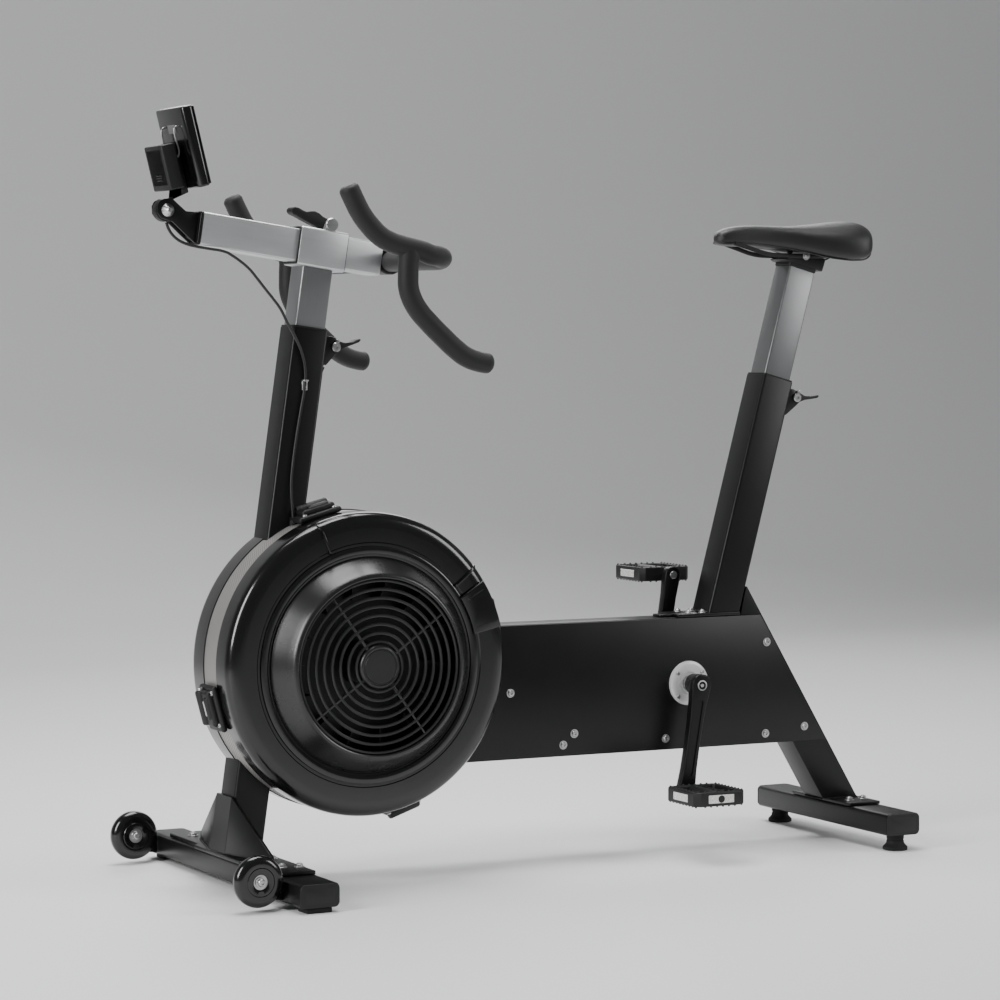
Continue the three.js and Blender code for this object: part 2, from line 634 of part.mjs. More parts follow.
const uprightNotch = barAlong(roundRect(tubeHalf + 1, tubeHalf + 1, 4), uprightAt(-860), uprightAt(-100));
const beamNotch = prismY(rect(-100, beamLow - 1.5, 440, beamHigh + 1.5), -coverOuter - 1.5, coverOuter + 1.5);
const bandRing = turnY([[229.5, 14.6], [229.5, 63.7], [226.8, 63.7], [226.8, 14.6]], hubX, hubZ, 40);
addNode('housing_band', less(bandRing, [uprightNotch, beamNotch]), bandGrey);
const farProfile = [
  [shellRadius, 14], [shellRadius, -22], [228, -31.5], [220, -38], [208, -40], [0, -40],
  [0, -37], [208, -37], [219, -34.6], [225.5, -30], [inShell, -22], [inShell, 14],
];
addNode('housing_far_shell', less(turnY(farProfile, hubX, hubZ, 40), [uprightNotch, beamNotch]), blackGloss);

// grille of rings on four spokes
const ringLow = 142;
const ringHigh = 147.5;
const ringPieces = [];
for (let k = 0; k < 8; k += 1) {
  const outer = 132.6 - 13.2 * k;
  const inner = outer - 5.2;
  const ring = [[outer, ringLow], [outer, ringHigh], [inner, ringHigh], [inner, ringLow]];
  ringPieces.push(turnY(ring, hubX, hubZ, 24));
}
[54, 144, 234, 324].forEach((degrees) => {
  ringPieces.push(prismY([polar(20, degrees - 5), polar(131, degrees - 0.8), polar(131, degrees + 0.8),
    polar(20, degrees + 5)], ringLow, ringLow + 4));
});
ringPieces.push(turnY([[0, 140], [0, 151], [27, 151], [33, 148], [34, 144], [34, 140]], hubX, hubZ, 32));
addNode('fan_grille', joined(ringPieces), blackMatte);

// damper ring with its tab
const tabAngles = [147, 152, 157, 162, 167];
const tabShape = [...tabAngles.map((a) => polar(176, a)), ...tabAngles.map((a) => polar(224, a)).reverse()];
const damperRing = joined([
  turnY([[168, 115.4], [168, 118.4], [180, 118.8], [180, 115.8]], hubX, hubZ, 36),
  prismY(tabShape, 115.9, 121),
]);
addNode('damper_ring', damperRing, blackGloss);

// ---- fan wheel and its axle ----
const fanPieces = [
  turnY([[12 + gap, 52], [12 + gap, 96], [32, 96], [34, 70], [205, 68], [205, 62], [34, 60], [32, 52]],
    hubX, hubZ, 30),
];
for (let k = 0; k < 14; k += 1) {
  const degrees = k * 360 / 14;
  fanPieces.push(prismY([polar(100, degrees - 0.9), polar(203, degrees + 5.6), polar(203, degrees + 6.5),
    polar(100, degrees + 0.9)], 67, 100));
}
addNode('fan_wheel', joined(fanPieces), blackMatte);
const smallPulley = 13;
addNode('fan_axle', joined([
  roundY(hubX, hubZ, 12, 2, 104), roundY(hubX, hubZ, smallPulley, 5, 19),
]), steel);

// ---- drive: crank pulley, jackshaft and two belts ----
const crankPulley = 74;
const jackSmall = 18;
const jackLarge = 70;
addNode('jackshaft', joined([
  roundY(jackX, jackZ, 10, -28, 28), roundY(jackX, jackZ, jackSmall, -21, -8),
  roundY(jackX, jackZ, jackLarge, 5, 19, 28),
]), steel);

const beltLoop = (a, ra, b, rb, y0, y1) => {
  const loop = (extra) => {
    const [ax, az] = a;
    const [bx, bz] = b;
    const length = Math.hypot(bx - ax, bz - az);
    const heading = Math.atan2(bz - az, bx - ax);
    const lean = Math.acos((ra - rb) / length);
    const points = [];
    for (let k = 0; k <= 16; k += 1) {
      const angle = heading + lean + (2 * Math.PI - 2 * lean) * k / 16;
      points.push([ax + (ra + extra) * Math.cos(angle), az + (ra + extra) * Math.sin(angle)]);
    }
    for (let k = 0; k <= 10; k += 1) {
      const angle = heading - lean + 2 * lean * k / 10;
      points.push([bx + (rb + extra) * Math.cos(angle), bz + (rb + extra) * Math.sin(angle)]);
    }
    return points;
  };
  return less(prismY(loop(3.6), y0, y1), [prismY(loop(1.2), y0 - 1, y1 + 1)]);
};
const firstBelt = beltLoop([crankX, crankZ], crankPulley, [jackX, jackZ], jackSmall, -20, -9);
addNode('belt_first', firstBelt, rubberBlack);
addNode('belt_second', beltLoop([jackX, jackZ], jackLarge, [hubX, hubZ], smallPulley, 6, 18), rubberBlack);

// ---- monitor cable ----
// the upper length goes round the arm and under the slider, the lower one hangs beside it to the upright
const cableRadius = 2.25;
const cableUpper = [
  [610, 2, 1000.3], [607, 3, 991], [602, 5, 982.5], [594, 8, 974.5], [582, 12, 968.3], [569, 16, 964.8],
  [556, 20.5, 962.4], [545, 24.6, 960.6], [534, 28.6, 958.8], [523, 30.6, 955.4],
];
const cableLower = [
  [522.2, 35.6, 954.9], [507, 35.6, 945.6], [489, 35.6, 931.8], [476.5, 35.6, 918], [463, 35.6, 901.9],
  [450.4, 35.6, 887.4], [438, 35.6, 871.6], [427, 35.4, 851], [413, 34.4, 827], [402, 32.6, 801],
  [397.5, 31.4, 774], [400, 31.2, 745], [405, 31.2, 720], [410, 31.2, 694], [414.5, 31.2, 667],
  [418.5, 31.4, 640], [421.5, 32, 613], [422, 33.5, 588], [421, 35.3, 566], [419.9, 36, 547.2],
];
addNode('cable_upper', tubeThrough(cableUpper, cableRadius, 14, 8), rubberBlack);
addNode('cable_lower', tubeThrough(cableLower, cableRadius, 38, 8), rubberBlack);

// ---- cranks and pedals ----
addNode('crank_spindle', joined([
  roundY(crankX, crankZ, spindleRadius, -62, 62), roundY(crankX, crankZ, crankPulley, -21, -8, 28),
]), steel);
bothSides.forEach(([word, side]) => {
  const [y0, y1] = spanY(side, coverOuter + gap, coverOuter + 7);
  const discProfile = [[0, y0], [35, y0], [36, (y0 + y1) / 2], [34, y1], [0, y1]];
  addNode(`crank_disc_${word}`, less(turnY(discProfile, crankX, crankZ, 24),
    [roundY(crankX, crankZ, spindleRadius + gap, y0 - 1, y1 + 1)]), discWhite);

  const down = [Math.sin(crankAngle) * side, -Math.cos(crankAngle) * side];
  const flat = [down[1], -down[0]];
  const at = (a, b) => [crankX + down[0] * a + flat[0] * b, crankZ + down[1] * a + flat[1] * b];
  const arm = [at(-17, -8), at(-17, 8), at(-8, 17), at(10, 16), at(90, 12), at(crankLength - 8, 12),
    at(crankLength + 6, 11), at(crankLength + 13, 5), at(crankLength + 13, -5), at(crankLength + 6, -11),
    at(crankLength - 8, -12), at(90, -12), at(10, -16), at(-8, -17)];
  const [a0, a1] = spanY(side, 62 + gap, 77);
  const axle = at(crankLength, 0);
  const [s0, s1] = spanY(side, 70, 178);
  const [b0, b1] = spanY(side, 50, 63);
  const [h0, h1] = spanY(side, 49, 62 + gap);
  const boss = less(roundY(crankX, crankZ, 17, b0, b1), [roundY(crankX, crankZ, spindleRadius + gap, h0, h1)]);
  addNode(`crank_${word}`, joined([prismY(arm, a0, a1), boss,
    roundY(axle[0], axle[1], pedalAxleRadius, s0, s1, 32)]), blackPaint);

  const [px, pz] = axle;
  const [p0, p1] = spanY(side, 86, 182);
  const block = prismY([[px - 46, pz - 6], [px - 38, pz - 13], [px + 38, pz - 13], [px + 46, pz - 6],
    [px + 46, pz + 6], [px + 38, pz + 13], [px - 38, pz + 13], [px - 46, pz + 6]], p0, p1);
  const windows = [];
  [-1, 1].forEach((half) => {
    [0, 1].forEach((row) => {
      const from = Math.min(p0, p1) + 9 + row * 42;
      const window = rect(px + 26 * half - 13, from, px + 26 * half + 13, from + 36);
      windows.push(prismZ(window, pz - 20, pz + 20));
    });
  });
  const recess = prismZ(rect(px - 37, p0 + 9, px + 37, p1 - 9), pz + 8, pz + 20);
  const underside = prismZ(rect(px - 37, p0 + 9, px + 37, p1 - 9), pz - 20, pz - 8);
  const bore = roundY(px, pz, pedalAxleRadius + runFit, p0 - 1, p1 + 1, 32);
  const barrel = less(roundY(px, pz, 11, p0, p1, 24), [bore]);
  const cage = less(block, [...windows, recess, underside, bore]);
  addNode(`pedal_${word}`, joined([cage, barrel]), blackMatte);
});

export default bike;
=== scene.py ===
import json
import math
import random

import bmesh
import bpy
from mathutils import Matrix, Vector


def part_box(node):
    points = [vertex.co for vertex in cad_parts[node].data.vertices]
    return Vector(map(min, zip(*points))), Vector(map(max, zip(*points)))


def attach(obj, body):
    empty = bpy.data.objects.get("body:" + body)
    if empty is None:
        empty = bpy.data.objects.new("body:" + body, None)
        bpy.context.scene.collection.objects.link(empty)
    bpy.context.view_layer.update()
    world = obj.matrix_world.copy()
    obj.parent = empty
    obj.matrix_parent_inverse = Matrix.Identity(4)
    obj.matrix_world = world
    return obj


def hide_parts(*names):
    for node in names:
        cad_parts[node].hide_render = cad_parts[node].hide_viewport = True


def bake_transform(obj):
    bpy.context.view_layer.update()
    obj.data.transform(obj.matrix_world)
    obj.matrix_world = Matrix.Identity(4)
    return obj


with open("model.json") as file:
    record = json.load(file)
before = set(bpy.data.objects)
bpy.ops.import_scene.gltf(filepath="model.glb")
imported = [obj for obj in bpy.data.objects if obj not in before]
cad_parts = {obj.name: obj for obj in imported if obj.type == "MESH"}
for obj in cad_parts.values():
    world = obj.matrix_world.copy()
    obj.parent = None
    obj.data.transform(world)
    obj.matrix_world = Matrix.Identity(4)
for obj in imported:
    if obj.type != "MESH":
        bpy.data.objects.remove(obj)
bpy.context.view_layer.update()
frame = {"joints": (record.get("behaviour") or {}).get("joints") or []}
random.seed(7)


def shifted(x, y, z):
    return Matrix.Translation((x, y, z))


def spun(degrees, axis):
    return Matrix.Rotation(math.radians(degrees), 4, axis)


# The bike is drawn in design millimetres and turned into frame metres at the end.
bike = {
    "frontBarX": 495.0, "frontBarHalf": 298.0, "rearBarX": -578.6, "rearBarHalf": 197.0,
    "uprightTop": (385.4, 842.0), "uprightTilt": 8.1, "tubeHalf": 28.5,
    "seatTop": (-445.8, 762.0), "seatTilt": 15.0,
    "beamLow": 166.0, "beamHigh": 378.0, "coverOuter": 31.0,
    "sleeve": (365.2, 963.0), "sliderTilt": 8.4, "slideRear": -101.0, "slideFront": 197.0,
    "bar": (250.0, 945.0), "barHalfSpan": 221.0, "barRadius": 15.5,
    "knuckle": (612.0, 1018.0), "monitor": (590.0, 1110.0), "monitorTilt": 13.9,
    "crank": (-274.0, 272.0), "crankLength": 170.0, "crankAngle": 9.0,
}
barLow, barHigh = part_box("front_foot_bar")
shiftX = (barLow.x + barHigh.x) / 2 - bike["frontBarX"] * 0.001
toFrame = shifted(shiftX, 0, 0) @ Matrix.Scale(0.001, 4)
toDesign = toFrame.inverted()


def nodeBox(node):
    low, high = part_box(node)
    return toDesign @ low, toDesign @ high


def nodeMiddle(node):
    low, high = nodeBox(node)
    return (low + high) / 2


hub = nodeMiddle("fan_bezel")


# ---- camera ----
def makeCamera():
    view = {"place": (2.422407, 4.655075, 0.833379), "heading": 27.086, "fall": 2.847, "lens": 119.798}
    heading, fall = math.radians(view["heading"]), math.radians(view["fall"])
    looking = Vector((-math.sin(heading) * math.cos(fall), -math.cos(heading) * math.cos(fall),
                      -math.sin(fall)))
    data = bpy.data.cameras.new("studio_camera")
    data.lens, data.sensor_width = view["lens"], 36
    data.clip_start, data.clip_end = 0.05, 60
    camera = bpy.data.objects.new("studio_camera", data)
    camera.location = view["place"]
    camera.rotation_euler = looking.to_track_quat("-Z", "Y").to_euler()
    bpy.context.scene.collection.objects.link(camera)
    bpy.context.scene.camera = camera


makeCamera()
print("camera placed")


# ---- shader wiring ----
class Flow:
    def __init__(self, finish, socket):
        self.finish = finish
        self.socket = socket

    def maths(self, operation, *values):
        return self.finish.node("ShaderNodeMath", {"operation": operation}, dict(enumerate(values)))

    def __add__(self, other):
        return self.maths("ADD", self, other)

    def __sub__(self, other):
        return self.maths("SUBTRACT", self, other)

    def __rsub__(self, other):
        return self.maths("SUBTRACT", other, self)

    def __mul__(self, other):
        return self.maths("MULTIPLY", self, other)

    def __truediv__(self, other):
        return self.maths("DIVIDE", self, other)

    def __pow__(self, other):
        return self.maths("POWER", self, other)

    def above(self, level):
        return self.maths("GREATER_THAN", self, level)

    def fraction(self):
        return self.maths("FRACT", self)

    __radd__ = __add__
    __rmul__ = __mul__


class Finish:
    def __init__(self, name, **constants):
        self.material = bpy.data.materials.new(name)
        self.material.use_nodes = True
        self.tree = self.material.node_tree
        self.shader = self.tree.nodes["Principled BSDF"]
        for label, value in constants.items():
            self.feed(**{label: value})

    def node(self, kind, settings=None, inputs=None, output=0):
        made = self.tree.nodes.new(kind)
        for label, value in (settings or {}).items():
            if label == "stops":
                for index, (place, shade) in enumerate(value):
                    stops = made.color_ramp.elements
                    stop = stops[index] if index < 2 else stops.new(place)
                    stop.position, stop.color = place, (shade, shade, shade, 1)
            else:
                setattr(made, label, value)
        for label, value in (inputs or {}).items():
            if isinstance(value, Flow):
                self.tree.links.new(value.socket, made.inputs[label])
            else:
                made.inputs[label].default_value = value
        return Flow(self, made.outputs[output])

    def feed(self, **values):
        names = {"colour": "Base Color", "rough": "Roughness", "metal": "Metallic", "normal": "Normal",
                 "coat": "Coat Weight", "coatRough": "Coat Roughness", "specular": "Specular IOR Level",
                 "sheen": "Sheen Weight", "glow": "Emission Color", "glowStrength": "Emission Strength",
                 "brushed": "Anisotropic"}
        for label, value in values.items():
            socket = self.shader.inputs[names[label]]
            if isinstance(value, Flow):
                self.tree.links.new(value.socket, socket)
            else:
                socket.default_value = value

    def place(self, turn=(0, 0, 0), stretch=(1, 1, 1), middle=(0, 0, 0)):
        coords = self.node("ShaderNodeTexCoord", output="Object")
        settled = self.node("ShaderNodeVectorMath", {"operation": "SUBTRACT"}, {0: coords, 1: middle})
        return self.node("ShaderNodeMapping", {"vector_type": "TEXTURE"},
                         {"Vector": settled, "Rotation": turn, "Scale": stretch})

    def noise(self, scale, detail=3.0, rough=0.55, where=None):
        where = where or self.place()
        return self.node("ShaderNodeTexNoise", None,
                         {"Vector": where, "Scale": scale, "Detail": detail, "Roughness": rough})

    def cells(self, scale, feature="F1", where=None):
        where = where or self.place()
        return self.node("ShaderNodeTexVoronoi", {"feature": feature}, {"Vector": where, "Scale": scale})

    def spread(self, mask, low, high):
        return self.node("ShaderNodeMapRange", None, {"Value": mask, "To Min": low, "To Max": high})

    def ramp(self, mask, stops):
        return self.node("ShaderNodeValToRGB", {"stops": stops}, {"Fac": mask})

    def tint(self, mask, first, second):
        return self.node("ShaderNodeMix", {"data_type": "RGBA"}, {0: mask, 6: first, 7: second}, 2)

    def bump(self, height, strength, distance, under=None):
        inputs = {"Height": height, "Strength": strength, "Distance": distance}
        if under:
            inputs["Normal"] = under
        return self.node("ShaderNodeBump", None, inputs)


def grey(level, warm=0.0):
    return (level * (1 + warm), level, level * (1 - warm), 1)


# ---- finishes ----
def powderCoat():
    f = Finish("powder_coat", specular=0.30)
    patches = f.noise(9, 4)
    grain = f.noise(1500, 2)
    rubbed = f.ramp(f.noise(38, 6, 0.7), [(0.62, 0), (0.78, 1)])
    f.feed(colour=f.tint(patches, grey(0.004), grey(0.0075)),
           rough=f.spread(patches, 0.30, 0.38) + rubbed * 0.06,
           normal=f.bump(grain, 0.12, 0.0004))
    return f.material


def glossPlastic():
    f = Finish("gloss_plastic", specular=0.5, coatRough=0.08)
    haze = f.noise(14, 5, 0.6)
    scuffs = f.ramp(f.noise(60, 8, 0.75, f.place(stretch=(0.25, 1, 1))), [(0.66, 0), (0.74, 1)])
    f.feed(colour=f.tint(haze, grey(0.003), grey(0.005)),
           rough=f.spread(haze, 0.14, 0.22) + scuffs * 0.12,
           coat=f.spread(haze, 0.35, 0.2),
           normal=f.bump(f.noise(22, 2), 0.05, 0.002))
    return f.material


# Plain finishes: cloud is the noise behind colour and roughness, and grain the one behind the bump.
plainFinishes = {
    "satin_bezel": {"specular": 0.55, "cloud": (11, 4), "shades": (grey(0.010), grey(0.014)),
                    "rough": (0.24, 0.31), "grain": (1900, 2), "bump": (0.08, 0.0003)},
    "grille_plastic": {"specular": 0.5, "cloud": (40, 3), "shades": (grey(0.010), grey(0.014)),
                       "rough": (0.26, 0.36), "grain": (900, 2), "bump": (0.08, 0.0004)},
    "black_rubber": {"specular": 0.3, "cloud": (55, 6, 0.7), "shades": (grey(0.011), grey(0.026, 0.04)),
                     "rough": (0.66, 0.86), "grain": (1200, 3), "bump": (0.25, 0.0005)},
    "cable_sheath": {"specular": 0.45, "cloud": (120, 4), "shades": (grey(0.010), grey(0.019)),
                     "rough": (0.32, 0.48), "grain": (800, 2), "bump": (0.06, 0.0004)},
    "zinc_steel": {"specular": 0.5, "metal": 0.95, "cloud": (420, 4, 0.6),
                   "shades": (grey(0.42, 0.01), grey(0.62)), "rough": (0.24, 0.4), "bump": (0.08, 0.0003)},
    "stitch_thread": {"specular": 0.3, "cloud": (3200, 3), "shades": (grey(0.02), grey(0.05)),
                      "rough": (0.6, 0.8), "bump": (0.4, 0.0003)},
    "display_glass": {"specular": 0.6, "coatRough": 0.04, "coat": 0.8, "cloud": (30, 3),
                      "shades": ((0.13, 0.15, 0.12, 1), (0.17, 0.19, 0.15, 1)), "rough": (0.12, 0.2),
                      "bump": (0.02, 0.001)},
    "button_pad": {"specular": 0.35, "cloud": (300, 4), "shades": (grey(0.12), grey(0.17)),
                   "rough": (0.5, 0.65), "bump": (0.15, 0.0003)},
}


def plainFinish(name):
    look = plainFinishes[name]
    constants = ("specular", "metal", "coatRough", "coat")
    f = Finish(name, **{label: look[label] for label in constants if label in look})
    cloud = f.noise(*look["cloud"])
    grain = f.noise(*look["grain"]) if "grain" in look else cloud
    f.feed(colour=f.tint(cloud, *look["shades"]), rough=f.spread(cloud, *look["rough"]),
           normal=f.bump(grain, *look["bump"]))
    return f.material


def mouldedPlastic():
    f = Finish("moulded_plastic", specular=0.4)
    haze = f.noise(25, 4)
    f.feed(colour=f.tint(haze, grey(0.006), grey(0.010)), rough=f.spread(haze, 0.42, 0.54),
           normal=f.bump(f.cells(1500, "SMOOTH_F1"), 0.22, 0.0005))
    return f.material


def brushedAlloy(name, turn, level, rough):
    f = Finish(name, metal=0.88, specular=0.5, brushed=0.35)
    along = f.place(turn=turn, stretch=(1, 1, 22))
    streaks = f.noise(520, 5, 0.6, along)
    cloud = f.noise(7, 4)
    marks = f.ramp(f.noise(70, 7, 0.75, f.place(turn=turn, stretch=(1, 1, 5))), [(0.68, 0), (0.76, 1)])
    body = f.tint(streaks, grey(level * 0.9, -0.015), grey(level * 1.06, -0.01))
    f.feed(colour=f.tint(marks * 0.5, body, grey(level * 0.7)),
           rough=f.spread(streaks, rough - 0.05, rough + 0.06) + cloud * 0.06,
           normal=f.bump(streaks, 0.06, 0.0003))
    return f.material


perforation = {"radius": 0.2295, "pitch": 0.0042, "hole": 0.36, "lift": 2000}


def perforatedBand():
    pitch, hole, lift = perforation["pitch"], perforation["hole"], perforation["lift"]
    f = Finish("perforated_band", metal=0.55, specular=0.45)
    coords = f.node("ShaderNodeTexCoord", output="Object")
    middle = toFrame @ hub
    radial = f.node("ShaderNodeVectorMath", {"operation": "SUBTRACT"}, {0: coords, 1: middle})
    axes = f.node("ShaderNodeSeparateXYZ", None, {0: radial})
    x, y, z = (Flow(f, axes.socket.node.outputs[k]) for k in range(3))
    turns = z.maths("ARCTAN2", z, x) * (perforation["radius"] / pitch)
    rows = y / pitch
    odd = (rows * 0.5).fraction().above(0.5)
    across = (turns + odd * 0.5 + lift).fraction() - 0.5
    along = (rows + lift).fraction() - 0.5
    away = (across * across + along * along) ** 0.5
    holes = f.ramp(away, [(hole * 0.72, 1), (hole, 0)])
    haze = f.noise(12, 5, 0.6)
    sheet = f.tint(haze, grey(0.30, 0.03), grey(0.42, 0.04))
    f.feed(colour=f.tint(holes * 0.62, sheet, grey(0.03)), rough=f.spread(haze, 0.42, 0.55),
           normal=f.bump(1 - holes, 0.35, 0.0008))
    return f.material


def paleCover():
    f = Finish("pale_cover", metal=0.25, specular=0.5)
    cloud = f.noise(60, 5, 0.6)
    spots = f.ramp(f.noise(260, 5, 0.7), [(0.6, 0), (0.72, 1)])
    f.feed(colour=f.tint(spots * 0.35, f.tint(cloud, grey(0.68), grey(0.80)), grey(0.4)),
           rough=f.spread(cloud, 0.34, 0.46), normal=f.bump(f.noise(700, 3), 0.1, 0.0004))
    return f.material


def gripFoam():
    f = Finish("grip_foam", specular=0.32, sheen=0.12)
    pores = f.cells(1100, "SMOOTH_F1")
    worn = f.noise(20, 5, 0.6)
    f.feed(colour=f.tint(worn, grey(0.007), grey(0.013)), rough=f.spread(worn, 0.50, 0.64),
           normal=f.bump(f.noise(2300, 3), 0.22, 0.0005, f.bump(pores, 0.35, 0.0005)))
    return f.material


def saddleSkin():
    f = Finish("saddle_skin", specular=0.5, sheen=0.03)
    grain = f.cells(850, "DISTANCE_TO_EDGE")
    fine = f.noise(1900, 3)
    worn = f.noise(16, 4)
    creases = f.ramp(grain, [(0.0, 0), (0.18, 1)])
    f.feed(colour=f.tint(worn, grey(0.0065), grey(0.011)), rough=f.spread(worn, 0.3, 0.44),
           normal=f.bump(fine, 0.1, 0.0004, f.bump(creases, 0.28, 0.0004)))
    return f.material


def reflectorLens():
    f = Finish("reflector_lens", specular=0.7, coatRough=0.05, coat=0.6)
    prisms = f.cells(420, "F1")
    f.feed(colour=f.tint(prisms, grey(0.55, 0.02), grey(0.88, 0.03)), rough=f.spread(prisms, 0.14, 0.3),
           normal=f.bump(prisms, 0.6, 0.0006))
    return f.material


uprightTurn = (0, -math.radians(bike["uprightTilt"]), 0)
seatTurn = (0, -math.radians(bike["seatTilt"]), 0)
slideTurn = (0, math.radians(90 - bike["sliderTilt"]), 0)
paint, gloss, moulded = powderCoat(), glossPlastic(), mouldedPlastic()
made = [plainFinish(name) for name in plainFinishes]
bezelSkin, wirePlastic, rubber, sheath, zinc, thread, glass, pad = made
# The silver alloy comes in lit and shaded copies: the slider's level 0.62 is painted light, and the posts'
# levels 0.30 and 0.22 are painted shade.
postAlloyShadedCopy = brushedAlloy("post_alloy_shaded_copy", uprightTurn, 0.30, 0.34)
seatAlloyShadedCopy = brushedAlloy("seat_post_alloy", seatTurn, 0.22, 0.34)
slideAlloyLitCopy = brushedAlloy("slider_alloy_lit_copy", slideTurn, 0.62, 0.38)
bandSheet, discCover, foam = perforatedBand(), paleCover(), gripFoam()
skin, lens = saddleSkin(), reflectorLens()
print("finishes mixed")


# ---- shapes, each a bmesh in its own space and in millimetres ----
def joinInto(whole, part, matrix=Matrix()):
    bmesh.ops.transform(part, matrix=matrix, verts=part.verts)
    mesh = bpy.data.meshes.new("part")
    part.to_mesh(mesh)
    part.free()
    whole.from_mesh(mesh)
    bpy.data.meshes.remove(mesh)
    return whole


def placed(shape, matrix):
    return joinInto(bmesh.new(), shape, matrix)


def gathered(*parts):
    whole = bmesh.new()
    for part in parts:
        shape, matrix = part if isinstance(part, tuple) else (part, Matrix())
        joinInto(whole, shape, matrix)
    return whole


def rounded(shape, radius, segments=3, over=25):
    edges = [e for e in shape.edges if len(e.link_faces) == 2 and e.calc_face_angle(0) > math.radians(over)]
    bmesh.ops.bevel(shape, geom=edges, offset=radius, affect="EDGES", segments=segments, profile=0.5,
                    material=-1, clamp_overlap=True)
    return shape


def block(wide, deep, tall, radius=1.0, segments=3):
    shape = bmesh.new()
    bmesh.ops.create_cube(shape, size=1, matrix=Matrix.Diagonal((wide, deep, tall, 1)))
    return rounded(shape, radius, segments)


def drum(radius, low, high, edge=0.8, sides=32, top=None, segments=2):
    shape = bmesh.new()
    place = shifted(0, 0, (low + high) / 2)
    bmesh.ops.create_cone(shape, cap_ends=True, segments=sides, radius1=radius,
                          radius2=radius if top is None else top, depth=high - low, matrix=place)
    return rounded(shape, edge, segments, 40) if edge else shape


def turned(profile, steps=64, closed=True, arc=360.0, start=0.0):
    shape = bmesh.new()
    points = [shape.verts.new((radius, 0, along)) for radius, along in profile]
    pairs = list(zip(points, points[1:])) + ([(points[-1], points[0])] if closed else [])
    lines = [shape.edges.new(pair) for pair in pairs]
    bmesh.ops.rotate(shape, verts=points, cent=(0, 0, 0), matrix=spun(start, "Z").to_3x3())
    whole = arc > 359.9
    bmesh.ops.spin(shape, geom=points + lines, cent=(0, 0, 0), axis=(0, 0, 1), angle=math.radians(arc),
                   steps=steps, use_merge=whole)
    bmesh.ops.remove_doubles(shape, verts=shape.verts, dist=0.002)
    if not whole:
        bmesh.ops.holes_fill(shape, edges=[e for e in shape.edges if e.is_boundary], sides=0)
    return shape


def slab(outline, low, high, edge=1.0, segments=2, corner=30):
    shape = bmesh.new()
    face = shape.faces.new([shape.verts.new((a, b, low)) for a, b in outline])
    grown = bmesh.ops.extrude_face_region(shape, geom=[face])
    raised = [v for v in grown["geom"] if isinstance(v, bmesh.types.BMVert)]
    bmesh.ops.translate(shape, verts=raised, vec=(0, 0, high - low))
    bmesh.ops.recalc_face_normals(shape, faces=shape.faces)
    return rounded(shape, edge, segments, corner) if edge else shape


def roundRect(halfA, halfB, radius, steps=4):
    points = []
    for corner, (a, b) in enumerate([(1, 1), (-1, 1), (-1, -1), (1, -1)]):
        for k in range(steps + 1):
            angle = (corner + k / steps) * math.pi / 2
            points.append((a * (halfA - radius) + radius * math.cos(angle),
                           b * (halfB - radius) + radius * math.sin(angle)))
    return points


def hollowSection(halfA, halfB, radius, length, wall):
    shape = slab(roundRect(halfA, halfB, radius), 0, length, 0)
    ends = [f for f in shape.faces if abs(f.normal.z) > 0.9]
    bmesh.ops.inset_region(shape, faces=ends, thickness=wall, use_even_offset=True)
    inner = [f for f in shape.faces if abs(f.normal.z) > 0.9 and len(f.verts) > 4]
    edges = [e for f in inner for e in f.edges]
    bmesh.ops.delete(shape, geom=inner, context="FACES_ONLY")
    bmesh.ops.bridge_loops(shape, edges=list(set(edges)))
    bmesh.ops.recalc_face_normals(shape, faces=shape.faces)
    return rounded(shape, 0.7, 2, 60)


def mirrored(half):
    return half + [(a, -b) for a, b in reversed(half)]


def button(radius, tall):
    profile = [(0, tall * 0.45), (radius * 0.46, tall * 0.45), (radius * 0.5, tall),
               (radius * 0.78, tall * 0.93), (radius * 0.95, tall * 0.6), (radius, tall * 0.1), (radius, 0),
               (0, 0)]
    return turned(profile, 18, False)


def hexBolt(radius, tall, washer=1.35):
    return gathered(drum(radius, 1.2, tall, 0.5, 6, segments=1),
                    drum(radius * washer, 0, 1.3, 0.3, 24, segments=1),
                    drum(radius * 0.55, tall - 0.2, tall + 1.4, 0.3, 14, segments=1))


def openLine(points, smoothness=10):
    data = bpy.data.curves.new("line", "CURVE")
    data.dimensions = "3D"
    data.resolution_u = smoothness
    spline = data.splines.new("BEZIER")
    spline.bezier_points.add(len(points) - 1)
    for knot, place in zip(spline.bezier_points, points):
        knot.co = place
        knot.handle_left_type = knot.handle_right_type = "AUTO"
    holder = bpy.data.objects.new("line", data)
    mesh = bpy.data.meshes.new_from_object(holder)
    line = [v.co.copy() for v in mesh.vertices]
    bpy.data.objects.remove(holder)
    bpy.data.curves.remove(data)
    bpy.data.meshes.remove(mesh)
    return line


def tubeAlong(line, radius, sides=4, ends=()):
    data = bpy.data.curves.new("tube", "CURVE")
    data.dimensions = "3D"
    data.bevel_depth = radius
    data.bevel_resolution = sides
    data.use_fill_caps = True
    spline = data.splines.new("POLY")
    spline.points.add(len(line) - 1)
    for index, (knot, place) in enumerate(zip(spline.points, line)):
        knot.co = (*place, 1)
        near = min(index, len(line) - 1 - index)
        knot.radius = ends[near] if near < len(ends) else 1
    holder = bpy.data.objects.new("tube", data)
    mesh = bpy.data.meshes.new_from_object(holder)
    shape = bmesh.new()
    shape.from_mesh(mesh)
    bpy.data.objects.remove(holder)
    bpy.data.curves.remove(data)
    bpy.data.meshes.remove(mesh)
    return shape


# ---- places ----
bothSides = (("left", 1), ("right", -1))


def sideways(x, z, turn=0.0):
    return shifted(x, 0, z) @ spun(-90, "X") @ spun(-turn, "Z")


def leaning(origin, tilt):
    return shifted(origin[0], 0, origin[1]) @ spun(tilt, "Y")


def flipped(side):
    return Matrix.Scale(side, 4, (0, 1, 0))


def polar(radius, degrees):
    return (radius * math.cos(math.radians(degrees)), radius * math.sin(math.radians(degrees)))


